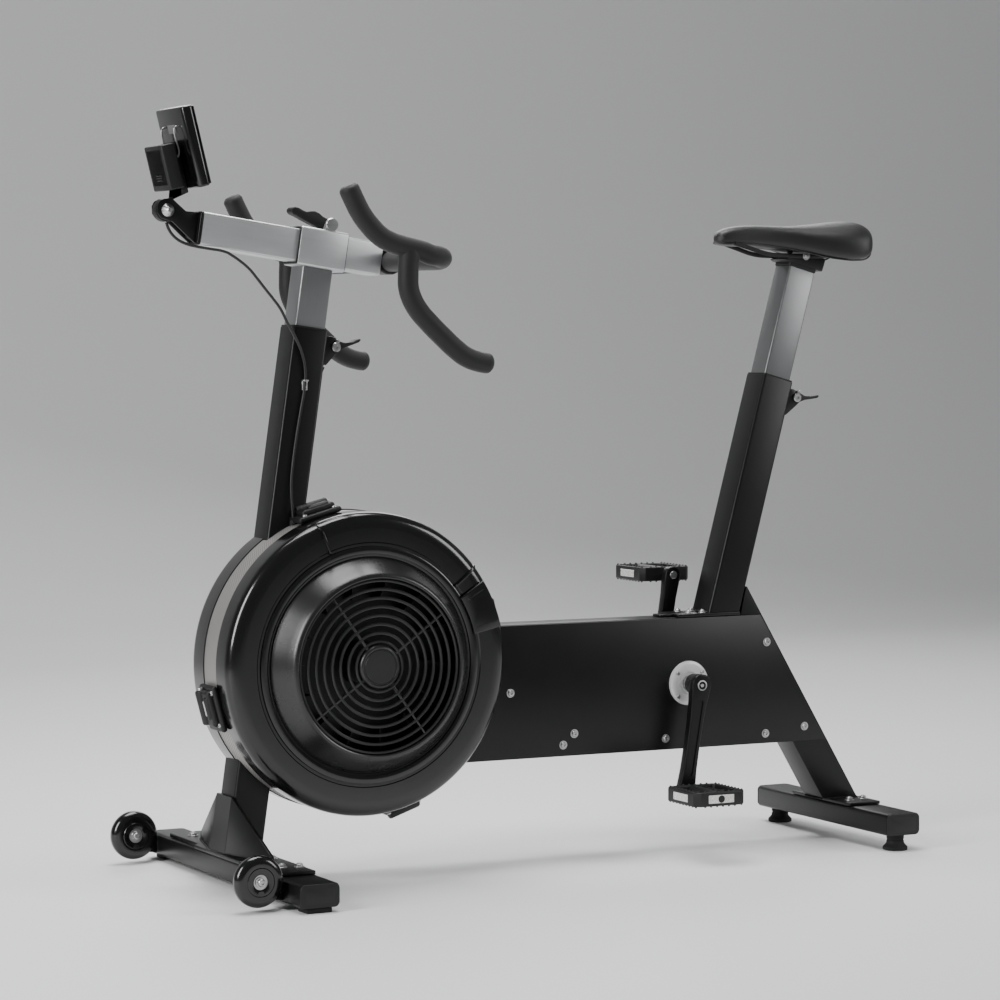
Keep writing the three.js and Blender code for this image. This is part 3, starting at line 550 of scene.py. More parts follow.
def aimed(place, outward, roll=0.0):
    turn = Vector(outward).normalized().to_track_quat("Z", "Y").to_matrix().to_4x4()
    return Matrix.Translation(place) @ turn @ spun(roll, "Z")


def aroundHub(degrees):
    x, z = polar(1, degrees)
    return Matrix(((x, 0, -z, hub.x), (0, 1, 0, 0), (z, 0, x, hub.z), (0, 0, 0, 1)))


# Outlines drawn as (x, z) with their thickness outwards, stood up in the bike.
sideOn = Matrix(((1, 0, 0, 0), (0, 0, 1, 0), (0, 1, 0, 0), (0, 0, 0, 1)))
uprightPlace = leaning(bike["uprightTop"], -bike["uprightTilt"])
seatPlace = leaning(bike["seatTop"], -bike["seatTilt"])
slidePlace = leaning(bike["sleeve"], 90 - bike["sliderTilt"])
monitorPlace = leaning(bike["monitor"], bike["monitorTilt"])
hubPlace = sideways(hub.x, hub.z)


def shown(shape, name, finish):
    mesh = bpy.data.meshes.new(name)
    shape.to_mesh(mesh)
    shape.free()
    mesh.polygons.foreach_set("use_smooth", [True] * len(mesh.polygons))
    mesh.materials.append(finish)
    piece = bpy.data.objects.new(name, mesh)
    bpy.context.scene.collection.objects.link(piece)
    return piece


def finished(shape, name, finish, body, nodes=(), sharp=32, levels=0):
    weld = 0.004
    bmesh.ops.remove_doubles(shape, verts=shape.verts, dist=weld)
    bmesh.ops.dissolve_degenerate(shape, edges=shape.edges, dist=weld)
    bmesh.ops.recalc_face_normals(shape, faces=shape.faces)
    bmesh.ops.transform(shape, matrix=toFrame, verts=shape.verts)
    piece = shown(shape, name, finish)
    piece.data.set_sharp_from_angle(angle=math.radians(sharp))
    if levels:
        modifier = piece.modifiers.new("smooth_form", "SUBSURF")
        modifier.levels = modifier.render_levels = levels
    if body:
        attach(piece, body)
    if nodes:
        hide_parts(*nodes)
    return piece


def hardware(parts, name, body="frame"):
    return finished(gathered(*parts), name, zinc, body)


# ---- monitor cable: one part rides the slider, two are baked in place on no body, and one stays on the frame ----
cable = {
    "diameter": 4.5,
    "held": [(610, 2, 1000.3), (607, 3, 991), (602, 5, 982.5), (594, 8, 974.5), (582, 12, 968.3),
             (569, 16, 964.8), (556, 20.5, 962.4), (545, 24.6, 960.6), (534, 28.6, 958.8),
             (523, 30.6, 955.4)],
    "free": [(523, 30.6, 955.4), (507, 31, 945.6), (489, 31.2, 931.8), (476.5, 31.2, 918),
             (463, 31.2, 901.9), (450.4, 31.2, 887.4), (438, 31.2, 871.6), (427, 31.2, 851),
             (413, 31.2, 827), (402, 31.2, 801), (397.5, 31.2, 774), (400, 31.2, 745)],
    "run": [(400, 31.2, 745), (405, 31.2, 720), (410, 31.2, 694), (414.5, 31.2, 667), (418.5, 31.4, 640),
            (421.5, 32, 613), (422, 33.5, 588), (421, 35.3, 566), (419.9, 36, 547.2)],
    "middleKnot": 4,
}


def lineLength(line):
    return sum((b - a).length for a, b in zip(line, line[1:]))


def cableLength(name, line, body, nodes):
    shape = tubeAlong(line, cable["diameter"] / 2, 4)
    piece = finished(shape, name, sheath, body, nodes, 60)
    path = [toFrame @ p for p in line]
    lineLength(path)
    return path


def makeCable():
    steps = 8
    held = cableLength("monitor_cable_top", openLine(cable["held"], steps), "slider", ["cable_upper"])
    free = openLine(cable["free"], steps)
    cut = cable["middleKnot"] * steps
    upper = cableLength("monitor_cable_loop", free[:cut + 1], None, ["cable_lower"])
    lower = cableLength("monitor_cable_drop", free[cut:], None, ["cable_lower"])
    run = cableLength("monitor_cable_run", openLine(cable["run"], steps), "frame", ["cable_lower"])
    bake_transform(bpy.data.objects["monitor_cable_loop"])
    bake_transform(bpy.data.objects["monitor_cable_drop"])
    print("cable lengths in mm:", [round(lineLength(p) * 1000) for p in (held, upper, lower, run)])


makeCable()


# ---- front foot ----
footBar = {"halfDeep": 31.0, "corner": 5.5, "wall": 3.0, "gap": 0.3, "cap": 3.0}


def makeFoot(word, x, half):
    low, high = (corner.z for corner in nodeBox(word + "_foot_bar"))
    middle, tall = (low + high) / 2, (high - low) / 2
    deep, cap = footBar["halfDeep"], footBar["cap"]
    bar = hollowSection(deep, tall, footBar["corner"], 2 * half, footBar["wall"])
    finished(placed(bar, shifted(x, -half, middle) @ spun(-90, "X")), word + "_bar", paint, "frame",
             [word + "_foot_bar"])
    for name, side in bothSides:
        face = slab(roundRect(deep, tall, footBar["corner"] + 2.5, 6), 0, cap, 1.5, 4)
        panel = slab(roundRect(deep - 8, tall - 6, 3), cap - 0.6, cap + 0.15, 0.3)
        plug = slab(roundRect(deep - 3.4, tall - 3.4, 2), -14, 0.5, 0.5)
        fins = [(block(2 * deep - 8, 2 * tall - 6, 1.2, 0.3, 1), shifted(0, 0, -z)) for z in (5, 9)]
        out = shifted(x, side * (half + footBar["gap"]), middle) @ spun(-90 * side, "X")
        finished(placed(gathered(face, panel, plug, *fins), out), word + "_end_cap_" + name, moulded,
                 "frame", [word + "_cap_" + name])


makeFoot("front", bike["frontBarX"], bike["frontBarHalf"])
makeFoot("rear", bike["rearBarX"], bike["rearBarHalf"])

floorPad = {"ribs": 4, "ribPitch": 8.0, "ribTall": 1.4, "footOut": 176.0}


def makePads():
    height = nodeBox("rear_foot_bar")[0].z - 0.3
    cup = [(0, 1.0), (14, 1.0), (15.5, 0), (18.8, 0), (20, 1.2), (20, 5.2), (18.6, 6.6), (15.2, 10.4),
           (14.2, 12.4), (14.2, 15.5), (13.2, 16), (13.2, 18), (14.2, 18.5), (14.2, height), (0, height)]
    rib = floorPad["ribTall"]
    for name, side in bothSides:
        low, high = nodeBox("front_pad_" + name)
        size, middle = high - low, (high + low) / 2
        body = [(block(size.x, size.y, size.z, 1.4), Matrix.Translation(middle))]
        for k in range(floorPad["ribs"]):
            y = middle.y - size.y / 2 + 5 + k * floorPad["ribPitch"]
            body.append((block(size.x - 1, 3, rib, 0.4, 1), shifted(middle.x, y, rib / 2)))
        finished(gathered(*body), "front_floor_pad_" + name, rubber, "frame", ["front_pad_" + name])
        finished(placed(turned(cup, 40, False), shifted(bike["rearBarX"], side * floorPad["footOut"], 0)),
                 "levelling_foot_" + name, rubber, "frame", ["rear_foot_" + name])


makePads()


def weldBead(points, radius=2.0, step=2.2):
    shape = bmesh.new()
    knots = [Vector(p) for p in points]
    for a, b in zip(knots, knots[1:]):
        count = max(1, int((b - a).length / step))
        turn = (b - a).to_track_quat("X", "Z").to_matrix().to_4x4()
        for k in range(count):
            place = Matrix.Translation(a.lerp(b, (k + 0.5) / count)) @ turn
            ripple = Matrix.Diagonal((0.8, 1.0 + random.uniform(-0.08, 0.08), 0.75, 1))
            bmesh.ops.create_icosphere(shape, subdivisions=1, radius=radius, matrix=place @ ripple)
    return shape


plates = {
    "thick": 6.0, "half": 222.0, "noseHalf": 90.0,
    "gusset": {"thick": 5.0, "top": 136.0, "rise": 86.0, "inner": 28.9, "outer": 139.6, "tipX": 498.0,
               "tipTop": 60.0},
    "frontBolts": [(501, 175), (476, 182), (483, 98)], "rearBolts": [(-566, 60), (-596, 54)],
}


def gussetWing(side, faceX, headX, foot):
    gusset = plates["gusset"]
    thick, inner, outer = gusset["thick"], side * gusset["inner"], side * gusset["outer"]
    corners = [(faceX, inner, foot), (headX, inner, gusset["top"]), (gusset["tipX"], outer, foot),
               (gusset["tipX"], outer, gusset["tipTop"])]
    wing = bmesh.new()
    for x, y, z in corners:
        wing.verts.new((x, y, z))
        wing.verts.new((x + thick, y, z))
    hull = bmesh.ops.convex_hull(wing, input=wing.verts)
    bmesh.ops.delete(wing, geom=list(set(hull["geom_unused"] + hull["geom_interior"])), context="VERTS")
    bmesh.ops.dissolve_limit(wing, angle_limit=0.02, verts=wing.verts, edges=wing.edges)
    return rounded(wing, 0.8, 2)


def plateBolts(name, places, height):
    hardware([(hexBolt(6, 5), shifted(x, side * y, height + 0.1)) for side in (1, -1) for x, y in places],
             name)


def makePlates():
    low = nodeBox("front_base_plate")[0].z
    top, half, nose, gusset = low + plates["thick"], plates["half"], plates["noseHalf"], plates["gusset"]
    outline = mirrored([(467, -half), (519, -half), (523, -half + 4), (523, -nose - 10), (533, -nose)])
    plate = slab(outline, low, top, 1.0)
    tilt = math.radians(bike["uprightTilt"])
    rise = math.tan(tilt)
    tubeTop = bike["uprightTop"]
    faceX = tubeTop[0] + (tubeTop[1] - top) * rise + bike["tubeHalf"] / math.cos(tilt) + 0.35
    headX, thick, foot = faceX - gusset["rise"] * rise, gusset["thick"], top - 0.5
    panels = [gussetWing(side, faceX, headX, foot) for side in (1, -1)]
    front = slab([(faceX, foot), (headX, gusset["top"]), (headX + thick, gusset["top"]),
                  (faceX + thick, foot)], -29.2, 29.2, 0)
    bead = faceX + 5.6
    beads = gathered(weldBead([(504, -137, top + 0.6), (bead, -29, top + 0.6), (bead, 29, top + 0.6),
                               (504, 137, top + 0.6)]),
                     weldBead([(faceX - 1, 29.2, top + 2), (faceX - 1 - 84 * rise, 29.2, 134)], 1.4))
    finished(gathered(plate, gathered(*panels, (front, sideOn)), beads), "front_mounting_plate", paint,
             "frame", ["front_base_plate"])
    plateBolts("front_plate_bolts", plates["frontBolts"], top)
    low, high = nodeBox("rear_base_plate")
    rear = slab(roundRect((high.x - low.x) / 2, high.y, 4), low.z, high.z, 1.0)
    bead = weldBead([(-596, 29.5, high.z + 0.6), (-536, 29.5, high.z + 0.6)], 2.2)
    finished(gathered((rear, shifted((high.x + low.x) / 2, 0, 0)), bead), "rear_mounting_plate", paint,
             "frame", ["rear_base_plate"])
    plateBolts("rear_plate_bolts", plates["rearBolts"], high.z)


makePlates()
print("feet made")


# ---- main tubes ----
def framed(outer, inner, low, high, edge=0.6, segments=2):
    shape = bmesh.new()
    lines = []
    for outline in (outer, inner):
        ring = [shape.verts.new((a, b, low)) for a, b in outline]
        lines += [shape.edges.new(pair) for pair in zip(ring, ring[1:] + ring[:1])]
    flat = bmesh.ops.bridge_loops(shape, edges=lines)
    grown = bmesh.ops.extrude_face_region(shape, geom=flat["faces"])
    raised = [v for v in grown["geom"] if isinstance(v, bmesh.types.BMVert)]
    bmesh.ops.translate(shape, verts=raised, vec=(0, 0, high - low))
    bmesh.ops.recalc_face_normals(shape, faces=shape.faces)
    return rounded(shape, edge, segments, 50) if edge else shape


def cutFlat(shape, height):
    geom = list(shape.verts) + list(shape.edges) + list(shape.faces)
    cut = bmesh.ops.bisect_plane(shape, geom=geom, dist=0.001, plane_co=(0, 0, height), plane_no=(0, 0, 1),
                                 clear_inner=True)
    bmesh.ops.bridge_loops(shape, edges=[e for e in cut["geom_cut"] if isinstance(e, bmesh.types.BMEdge)])
    return shape


tube = {"corner": 4.5, "wall": 3.0, "uprightLong": 850.0, "seatLong": 440.0, "bushRise": 2.6}
postHalf = {"side": 23.0, "deep": 25.0, "corner": 3.0}


def standingTube(name, node, place, long, foot):
    half = bike["tubeHalf"]
    body = framed(roundRect(half, half, tube["corner"], 5),
                  roundRect(half - tube["wall"], half - tube["wall"], 2, 5), -long, 0, 0.7)
    shape = cutFlat(placed(body, place), foot)
    finished(shape, name, paint, "frame", [node])
    bush = framed(roundRect(half - 0.6, half - 0.6, tube["corner"], 5),
                  roundRect(postHalf["deep"] + 0.2, postHalf["side"] + 0.3, 3.1, 5), 0.15, tube["bushRise"],
                  0.7)
    finished(placed(bush, place), name + "_bushing", moulded, "frame")


beamTop = bike["beamHigh"]
seatPlateTop = nodeBox("seat_base_plate")[1].z
standingTube("upright_tube", "front_upright", uprightPlace, tube["uprightLong"],
             nodeBox("front_upright")[0].z)
standingTube("seat_tube_shell", "seat_tube", seatPlace, tube["seatLong"], seatPlateTop + 0.3)

slope = {"angle": 59.0, "topX": -383.5, "topZ": 429.0}
slopeRun = 1 / math.tan(math.radians(slope["angle"]))
slopeWide = 2 * bike["tubeHalf"] / math.sin(math.radians(slope["angle"]))


def legRear(z):
    return slope["topX"] - (slope["topZ"] - z) * slopeRun


def legFront(z):
    return legRear(z) + slopeWide


def tubeRear(top, degrees, z):
    tilt = math.radians(degrees)
    return top[0] + (top[1] - z) * math.tan(tilt) - bike["tubeHalf"] / math.cos(tilt)


def seatRear(z):
    return tubeRear(bike["seatTop"], bike["seatTilt"], z)


def uprightRear(z):
    return tubeRear(bike["uprightTop"], bike["uprightTilt"], z) - 0.3


def makeLegAndBeam():
    half = bike["tubeHalf"]
    foot = nodeBox("rear_leg")[0].z
    outline = [(legRear(foot), foot), (legFront(foot), foot), (legFront(beamTop), beamTop),
               (seatRear(beamTop) - 1, beamTop), (seatRear(seatPlateTop) - 1.6, beamTop),
               (seatRear(424) - 0.6, 424), (legRear(424), 424)]
    leg = slab(outline, -half, half, 3.6, 4)
    beads = gathered(weldBead([(legRear(foot) - 0.5, -26, foot), (legRear(foot) - 0.5, 26, foot)], 2.2),
                     weldBead([(legRear(foot), 28.6, foot + 0.6), (legFront(foot), 28.6, foot + 0.6)], 1.8),
                     weldBead([(legFront(foot) + 0.5, 26, foot), (legFront(foot) + 0.5, -26, foot)], 2.2))
    finished(gathered((leg, sideOn), beads), "rear_strut", paint, "frame", ["rear_leg"])

    for name, node in (("upper", "beam_top_rail"), ("lower", "beam_bottom_rail")):
        zLow, zHigh = (corner.z for corner in nodeBox(node))
        shape = slab([(legFront(zLow) + 0.3, zLow), (uprightRear(zLow), zLow), (uprightRear(zHigh), zHigh),
                      (legFront(zHigh) + 0.3, zHigh)], -half, half, 2.6, 3)
        finished(gathered((shape, sideOn)), "beam_rail_" + name, paint, "frame", [node])

    low, high = nodeBox("seat_base_plate")
    plate = slab(roundRect((high.x - low.x) / 2, high.y, 4), low.z, high.z, 0.8)
    bolts = [(hexBolt(5, 4), shifted(x, y, high.z + 0.05)) for x in (-283, -308) for y in (18, -18)]
    tongue = slab(mirrored([(-256, -14), (-236, -14), (-232, -10)]), low.z, high.z - 1, 0.8)
    bead = weldBead([(seatRear(high.z) + 60.5, -26, high.z + 1), (seatRear(high.z) + 60.5, 26, high.z + 1)],
                    2.0)
    finished(gathered((plate, shifted((low.x + high.x) / 2, 0, 0)), tongue, bead), "seat_tube_plate",
             paint, "frame", ["seat_base_plate"])
    hardware(bolts, "seat_plate_bolts")


makeLegAndBeam()

beamScrews = {
    "radius": 5.2, "tall": 3.2, "ringLip": 1.1,
    "places": [(48, 271), (-46, 184), (-66, 201), (-233, 184), (-421, 182), (-423, 332), (-496, 190)],
}


def makeCovers():
    inner, outer = nodeBox("side_cover_left")[0].y, nodeBox("side_cover_left")[1].y
    low, high = bike["beamLow"], beamTop - 1
    outline = [(legRear(low) + 4, low), (uprightRear(low), low), (uprightRear(high), high),
               (legRear(high) + 4, high)]
    face, radius = outer + beamScrews["ringLip"], beamScrews["radius"]
    for name, side in bothSides:
        sheet = slab(outline, inner, outer, 0.7, 2)
        ring = turned([(20, outer - 0.2), (20, face), (34, face), (34.6, outer - 0.2)], 48)
        cover = gathered((sheet, flipped(side) @ sideOn), (ring, flipped(side) @ sideways(*bike["crank"])))
        finished(cover, "beam_cover_" + name, paint, "frame", ["side_cover_" + name])
        heads = []
        for x, z in beamScrews["places"]:
            heads.append((button(radius, beamScrews["tall"]),
                          aimed((x, side * (outer + 0.05), z), (0, side, 0))))
            heads.append((drum(radius * 1.35, 0, 0.9, 0.2, 24, segments=1),
                          aimed((x, side * (outer - 0.2), z), (0, side, 0))))
        hardware(heads, "beam_screws_" + name)


makeCovers()


# ---- clamps and their levers ----
clamp = {"half": 15.0, "ear": 5.0, "pinRadius": 4.0, "hub": 8.4, "bore": 4.3}


def circle(radius, sides=32):
    return [(radius * math.cos(k * 2 * math.pi / sides), radius * math.sin(k * 2 * math.pi / sides))
            for k in range(sides)]


def makeClamp(word, place, node, leverNode, leverBody, drop, pinLocal, tip):
    face = -bike["tubeHalf"] - 0.3
    ear = [(face + 0.2, drop - 30), (face + 0.2, drop + 13), (face - 12, drop + 14), (face - 22, drop + 12),
           (face - 28, drop + 5), (face - 28, drop - 4), (face - 24, drop - 10), (face - 8, drop - 31)]
    ears = [(slab(ear, low, low + clamp["ear"], 1.2, 2), place @ sideOn)
            for low in (-clamp["half"], clamp["half"] - clamp["ear"])]
    web = slab([(face, drop - 30), (face, drop + 13), (face - 8, drop + 13), (face - 8, drop - 30)],
               -clamp["half"] + 1, clamp["half"] - 1, 1.5, 2)
    spine = slab([(face, drop - 33), (face, drop - 62), (face - 3, drop - 62), (face - 12, drop - 33)],
                 -4, 4, 1.2, 2)
    finished(gathered(*ears, (web, place @ sideOn), (spine, place @ sideOn)), word + "_clamp_casting",
             paint, "frame", [node])
    pinX, pinZ = pinLocal
    reach = clamp["half"] + 1
    barrel = [(0, -reach - 3.4), (6.2, -reach - 3.4), (7.2, -reach - 2.4), (7.2, -reach),
              (clamp["pinRadius"], -reach), (clamp["pinRadius"], reach), (7.2, reach), (7.2, reach + 2.4),
              (6.2, reach + 3.4), (2.8, reach + 3.4), (2.8, reach + 1.6), (0, reach + 1.6)]
    screw = button(3.4, 2.6)
    finished(gathered((turned(barrel, 32, False), sideways(pinX, pinZ)),
                      (screw, aimed((pinX - 3, clamp["half"] + 0.1, pinZ + 9), (0, 1, 0)))),
             word + "_clamp_pin", zinc, "frame")
    run = Vector((tip[0] - pinX, tip[1] - pinZ))
    size = run.length
    turn = math.degrees(math.atan2(run.y, run.x))
    blade = [(-4, -7), (4, -8.4), (12, -6), (size * 0.45, -1.4), (size * 0.75, 0.6), (size + 2, -1.2),
             (size + 3.4, 0.6), (size, 3.6), (size * 0.75, 4.6), (size * 0.45, 5.4), (size * 0.2, 8.4),
             (2, 10.2), (-6, 13), (-14, 17), (-16, 15.6), (-9.5, 6), (-8, 0)]
    lever = slab([(a, -b) for a, b in blade], -9.4, 9.4, 1.1, 3)
    eye = framed(circle(clamp["hub"]), circle(clamp["bore"]), -9.6, 9.6, 0.8)
    finished(gathered((lever, sideways(pinX, pinZ, turn)), (eye, sideways(pinX, pinZ, turn))),
             word + "_cam_handle", moulded, leverBody, [leverNode])


def pivotOf(joint):
    found = next(j for j in frame["joints"] if j["name"] == joint)
    return toDesign @ Vector(found["pos_m"])


uprightPivot, seatPivot = pivotOf("upright_lever_open"), pivotOf("seat_lever_open")
makeClamp("upright", uprightPlace, "upright_clamp", "upright_lever", "upright_lever", -20,
          (uprightPivot.x, uprightPivot.z), (uprightPivot.x - 42, uprightPivot.z + 11))
makeClamp("seat_tube", seatPlace, "seat_tube_clamp", "seat_lever", "seat_lever", -22,
          (seatPivot.x, seatPivot.z), (seatPivot.x - 44, seatPivot.z + 2))
print("frame made")


# ---- transport wheels ----
wheel = {"radius": 38.0, "half": 12.0}


def makeWheels():
    r, h = wheel["radius"], wheel["half"]
    tyre = mirrored([(21.5, -h + 0.6), (27, -h + 0.2), (30.5, -h + 1.0), (34.2, -h + 3.2), (36.8, -h + 6.2),
                     (r, -3.2)])
    core = mirrored([(11.2, -h + 1.0), (13.5, -h), (20.2, -h), (21.5, -h + 1.2)])
    race = mirrored([(4.3, -h + 2.4), (10.8, -h + 2.4), (11.2, -h + 3)])
    for name, side in bothSides:
        middle = nodeMiddle("transport_wheel_" + name)
        place = sideways(middle.x, middle.z) @ shifted(0, 0, middle.y)
        windows = [(slab([polar(13.4, a - 15), polar(19.6, a - 18), polar(20.4, a), polar(19.6, a + 18),
                          polar(13.4, a + 15)], h - 0.3, h + 0.15, 0), Matrix()) for a in (90, 210, 330)]
        tread = turned(tyre, 72)
        ring = turned(core, 60)
        finished(placed(gathered(tread, ring, *windows), place), "skate_wheel_" + name, gloss,
                 "wheel_" + name, ["transport_wheel_" + name])
        finished(placed(turned(race, 40), place), "wheel_bearing_" + name, zinc, "wheel_" + name)
        back = middle.y - h - 1
        x, z = middle.x, middle.z
        cheek = [(526.3, 12), (546, 15), (x + 6, z - 13), (x + 12, z - 7), (x + 13, z), (x + 10, z + 8),
                 (x + 4, z + 12.5), (x - 6, z + 13), (526.3, 40)]
        arm = slab(cheek, back - 5, back, 1.2, 2)
        flange = slab([(526.3, 12), (531, 12), (531, 40), (526.3, 40)], back - 26, back - 3, 1.2, 2)
        finished(gathered((arm, sideOn), (flange, sideOn)), "wheel_arm_" + name, paint, "frame",
                 ["wheel_bracket_" + name])
        front = middle.y + h
        axle = [(drum(4, back - 7, front + 1, 0.4, 20), sideways(x, z)),
                (drum(8.2, front - 1.2, front + 0.4, 0.3, 32, segments=1), sideways(x, z)),
                (button(6.2, 4.0), aimed((x, front + 0.4, z), (0, 1, 0))),
                (hexBolt(6, 4.2), aimed((x, back - 5, z), (0, -1, 0)))]
        axle += [(button(4.4, 2.8), aimed((531, back - 12, zz), (1, 0, 0))) for zz in (19, 33)]
        hardware(axle, "wheel_bolt_" + name)


makeWheels()
print("wheels made")


# ---- fan housing ----
def carved(shape, *cutters):
    objects = []
    for part in (shape, *cutters):
        mesh = bpy.data.meshes.new("carving")
        bmesh.ops.recalc_face_normals(part, faces=part.faces)
        part.to_mesh(mesh)
        part.free()
        objects.append(bpy.data.objects.new("carving", mesh))
        bpy.context.scene.collection.objects.link(objects[-1])
    for cutter in objects[1:]:
        cut = objects[0].modifiers.new("cut", "BOOLEAN")
        cut.operation, cut.solver, cut.object = "DIFFERENCE", "EXACT", cutter
    bpy.context.view_layer.update()
    result = bmesh.new()
    result.from_mesh(objects[0].evaluated_get(bpy.context.evaluated_depsgraph_get()).to_mesh())
    for piece in objects:
        bpy.data.objects.remove(piece)
    return result


def onHub(radius, degrees, out):
    x, z = polar(radius, degrees)
    toward = polar(1, degrees)
    return shifted(hub.x + x, out, hub.z + z) @ aimed((0, 0, 0), (toward[0], 0, toward[1]))


housing = {
    "steps": 160,
    "nearShell": [(231, 64), (231, 96), (230.7, 100), (229.6, 104), (227.2, 108), (223.5, 111.2),
                  (219, 113.6), (213, 114.9), (206, 115.1), (186, 114.7), (184.5, 113.6), (166, 113.3),
                  (164.4, 113), (164.4, 110.4), (206, 112), (218, 109.8), (225, 105), (228, 97), (228, 64)],
    "farShell": [(231, 14), (231, -21), (230.7, -25), (229.6, -29), (227.2, -33), (223.5, -36.2),
                 (219, -38.6), (213, -39.8), (206, -40), (188, -40), (186, -38.6), (176, -38.6), (174, -40),
                 (96, -40), (94, -38.6), (84, -38.6), (82, -40), (40, -40), (38, -38), (0, -38), (0, -36.6),
                 (206, -36.6), (218, -34.6), (225, -30), (228, -22), (228, 14)],
    "bezel": [(164, 109), (164, 113), (163, 115.4), (160.5, 119), (148, 137.2), (142.6, 145.4),
              (139.8, 149), (137.3, 150.7), (134.9, 151), (133.4, 150.2), (133, 148.8), (133, 147),
              (134, 146), (137, 145.4), (140, 141), (160, 109)],
    "lugs": [75, 166, 251, 345], "ribs": [68.5, 141],
    "spokes": [54, 144, 234, 324],
    "rings": 8, "fineRings": 6, "firstRing": 130.0, "ringPitch": 13.2, "wire": 2.6, "wireOut": 144.8,
}


def makeHousing():
    steps = housing["steps"]
    ribOutline = [(181.5, 112.5), (181.5, 118), (184, 119.6), (208, 119.2), (218, 117.8), (225.8, 114),
                  (230.4, 107.6), (230.9, 101), (228.6, 99)]
    ribs = []
    for degrees in housing["ribs"]:
        ribs.append((slab(ribOutline, -1.6, 1.6, 0.7, 2), aroundHub(degrees)))
    shoulder = turned([(174.8, 113.4), (174.8, 117), (177.4, 117), (177.4, 113.4)], 12, True, 12, -68)
    near = turned(housing["nearShell"], steps)
    finished(gathered((near, hubPlace), *ribs, (shoulder, hubPlace)), "fan_shell_near", gloss, "frame",
             ["housing_near_shell"])
    finished(gathered((turned(housing["bezel"], steps), hubPlace)), "grille_bezel", bezelSkin, "frame",
             ["fan_bezel"])

    half = bike["tubeHalf"] + 1
    along = shifted(0, 0, -480)
    notch = [placed(block(2 * half, 2 * half, 760, 4), uprightPlace @ along),
             placed(block(540, 2 * bike["coverOuter"] + 3, beamTop - bike["beamLow"] + 4, 0),
                    shifted(170, 0, (beamTop + bike["beamLow"]) / 2))]
    band = turned([(229.5, 14.6), (229.5, 63.7), (226.8, 63.7), (226.8, 14.6)], steps)
    cut = carved(placed(band, hubPlace), *[n.copy() for n in notch])
    finished(cut, "perforated_ring", bandSheet, "frame", ["housing_band"])
    far = placed(turned(housing["farShell"], steps), hubPlace)
    finished(carved(far, *notch), "fan_shell_far", gloss, "frame", ["housing_far_shell"])

    rear = []
    for degrees in range(20, 380, 60):
        rear.append((slab([(98, -39), (98, -42), (172, -42), (172, -39)], -2, 2, 0.8, 2),
                     aroundHub(degrees)))
        x, z = polar(180, degrees + 30)
        rear.append((button(5.4, 3.4), aimed((hub.x + x, -38.5, hub.z + z), (0, -1, 0))))
    finished(gathered(*rear), "far_shell_ribs", gloss, "frame")


def makeLugs():
    bodies, screws = [], []
    for degrees in housing["lugs"]:
        place = onHub(229.9, degrees, 42)
        turnOut = spun(90, "X")
        bodies.append((block(54, 72, 9, 4), place @ shifted(0, 0, 4.2)))
        bodies.append((block(38, 56, 12, 5, 4), place @ shifted(1, 2, 11)))
        bodies.append((drum(9.5, -27, 27, 3.4, 28), place @ shifted(-12, 3, 12.5) @ turnOut))
        bodies.append((drum(7.5, -17, 17, 2.4, 28), place @ shifted(11, 4, 13) @ turnOut))
        for x, y in ((21, 26), (21, -24), (-22, -26), (-22, 28)):
            screws.append((button(3.8, 2.6), place @ shifted(x, y, 8.7)))
        screws.append((block(4.2, 24, 3, 1.3), place @ shifted(0.5, 3, 17.2)))
        screws.append((button(4.8, 3.4), place @ shifted(-12, 30, 12.5) @ spun(-90, "X")))
    finished(gathered(*bodies), "band_lugs", moulded, "frame")
    hardware(screws, "band_lug_screws")


def makeGrille():
    shapes = []
    for k in range(housing["rings"]):
        radius = housing["firstRing"] - housing["ringPitch"] * k
        section = [(radius + a, housing["wireOut"] + b) for a, b in circle(housing["wire"], 10)]
        shapes.append(turned(section, 96 if k < housing["fineRings"] else 64))
    cap = [(0, 150.2), (25.2, 150.2), (25.8, 149.4), (27.0, 149.4), (27.6, 150.4), (29.4, 150.8),
           (31.6, 149.6), (33.2, 147.2), (33.8, 144), (33.8, 140.2), (0, 140.2)]
    shapes.append(turned(cap, 72, False))
    grille = gathered(*[(shape, hubPlace) for shape in shapes])
    for degrees in housing["spokes"]:
        spoke = slab(mirrored([(30, -2.6), (60, -2.0), (132, -1.5)]), 141.2, 146.6, 0.9, 2)
        joinInto(grille, spoke, aroundHub(degrees) @ sideOn)
    finished(grille, "fan_guard", wirePlastic, "frame", ["fan_grille"])


def makeDamper():
    ring = [(168, 115.5), (168.2, 115.9), (170.5, 116.8), (177.5, 116.8), (179.8, 115.9), (180, 115.5)]
    angles = [147 + k for k in range(21)]
    outline = [polar(177, a) for a in angles] + [polar(223.6, a) for a in reversed(angles)]
    tab = slab([(hub.x + x, hub.z + z) for x, z in outline], 115.9, 120.4, 1.2, 3)
    grip = []
    for a in (150, 164):
        grip.append((slab([(184, 119.8), (184, 121), (219, 121), (219, 119.8)], -0.9, 0.9, 0.3, 1),
                     aroundHub(a)))
    finished(gathered((turned(ring, 128), hubPlace), (tab, sideOn), *grip), "damper_slide", gloss, "damper",
             ["damper_ring"])


makeHousing()
makeLugs()
makeGrille()
makeDamper()
for node, finish in (("fan_wheel", moulded), ("fan_axle", zinc), ("belt_first", rubber),
                     ("belt_second", rubber), ("jackshaft", zinc), ("crank_spindle", zinc)):
    for holder in bpy.data.objects[node].material_slots:
        holder.material = finish
print("housing made")


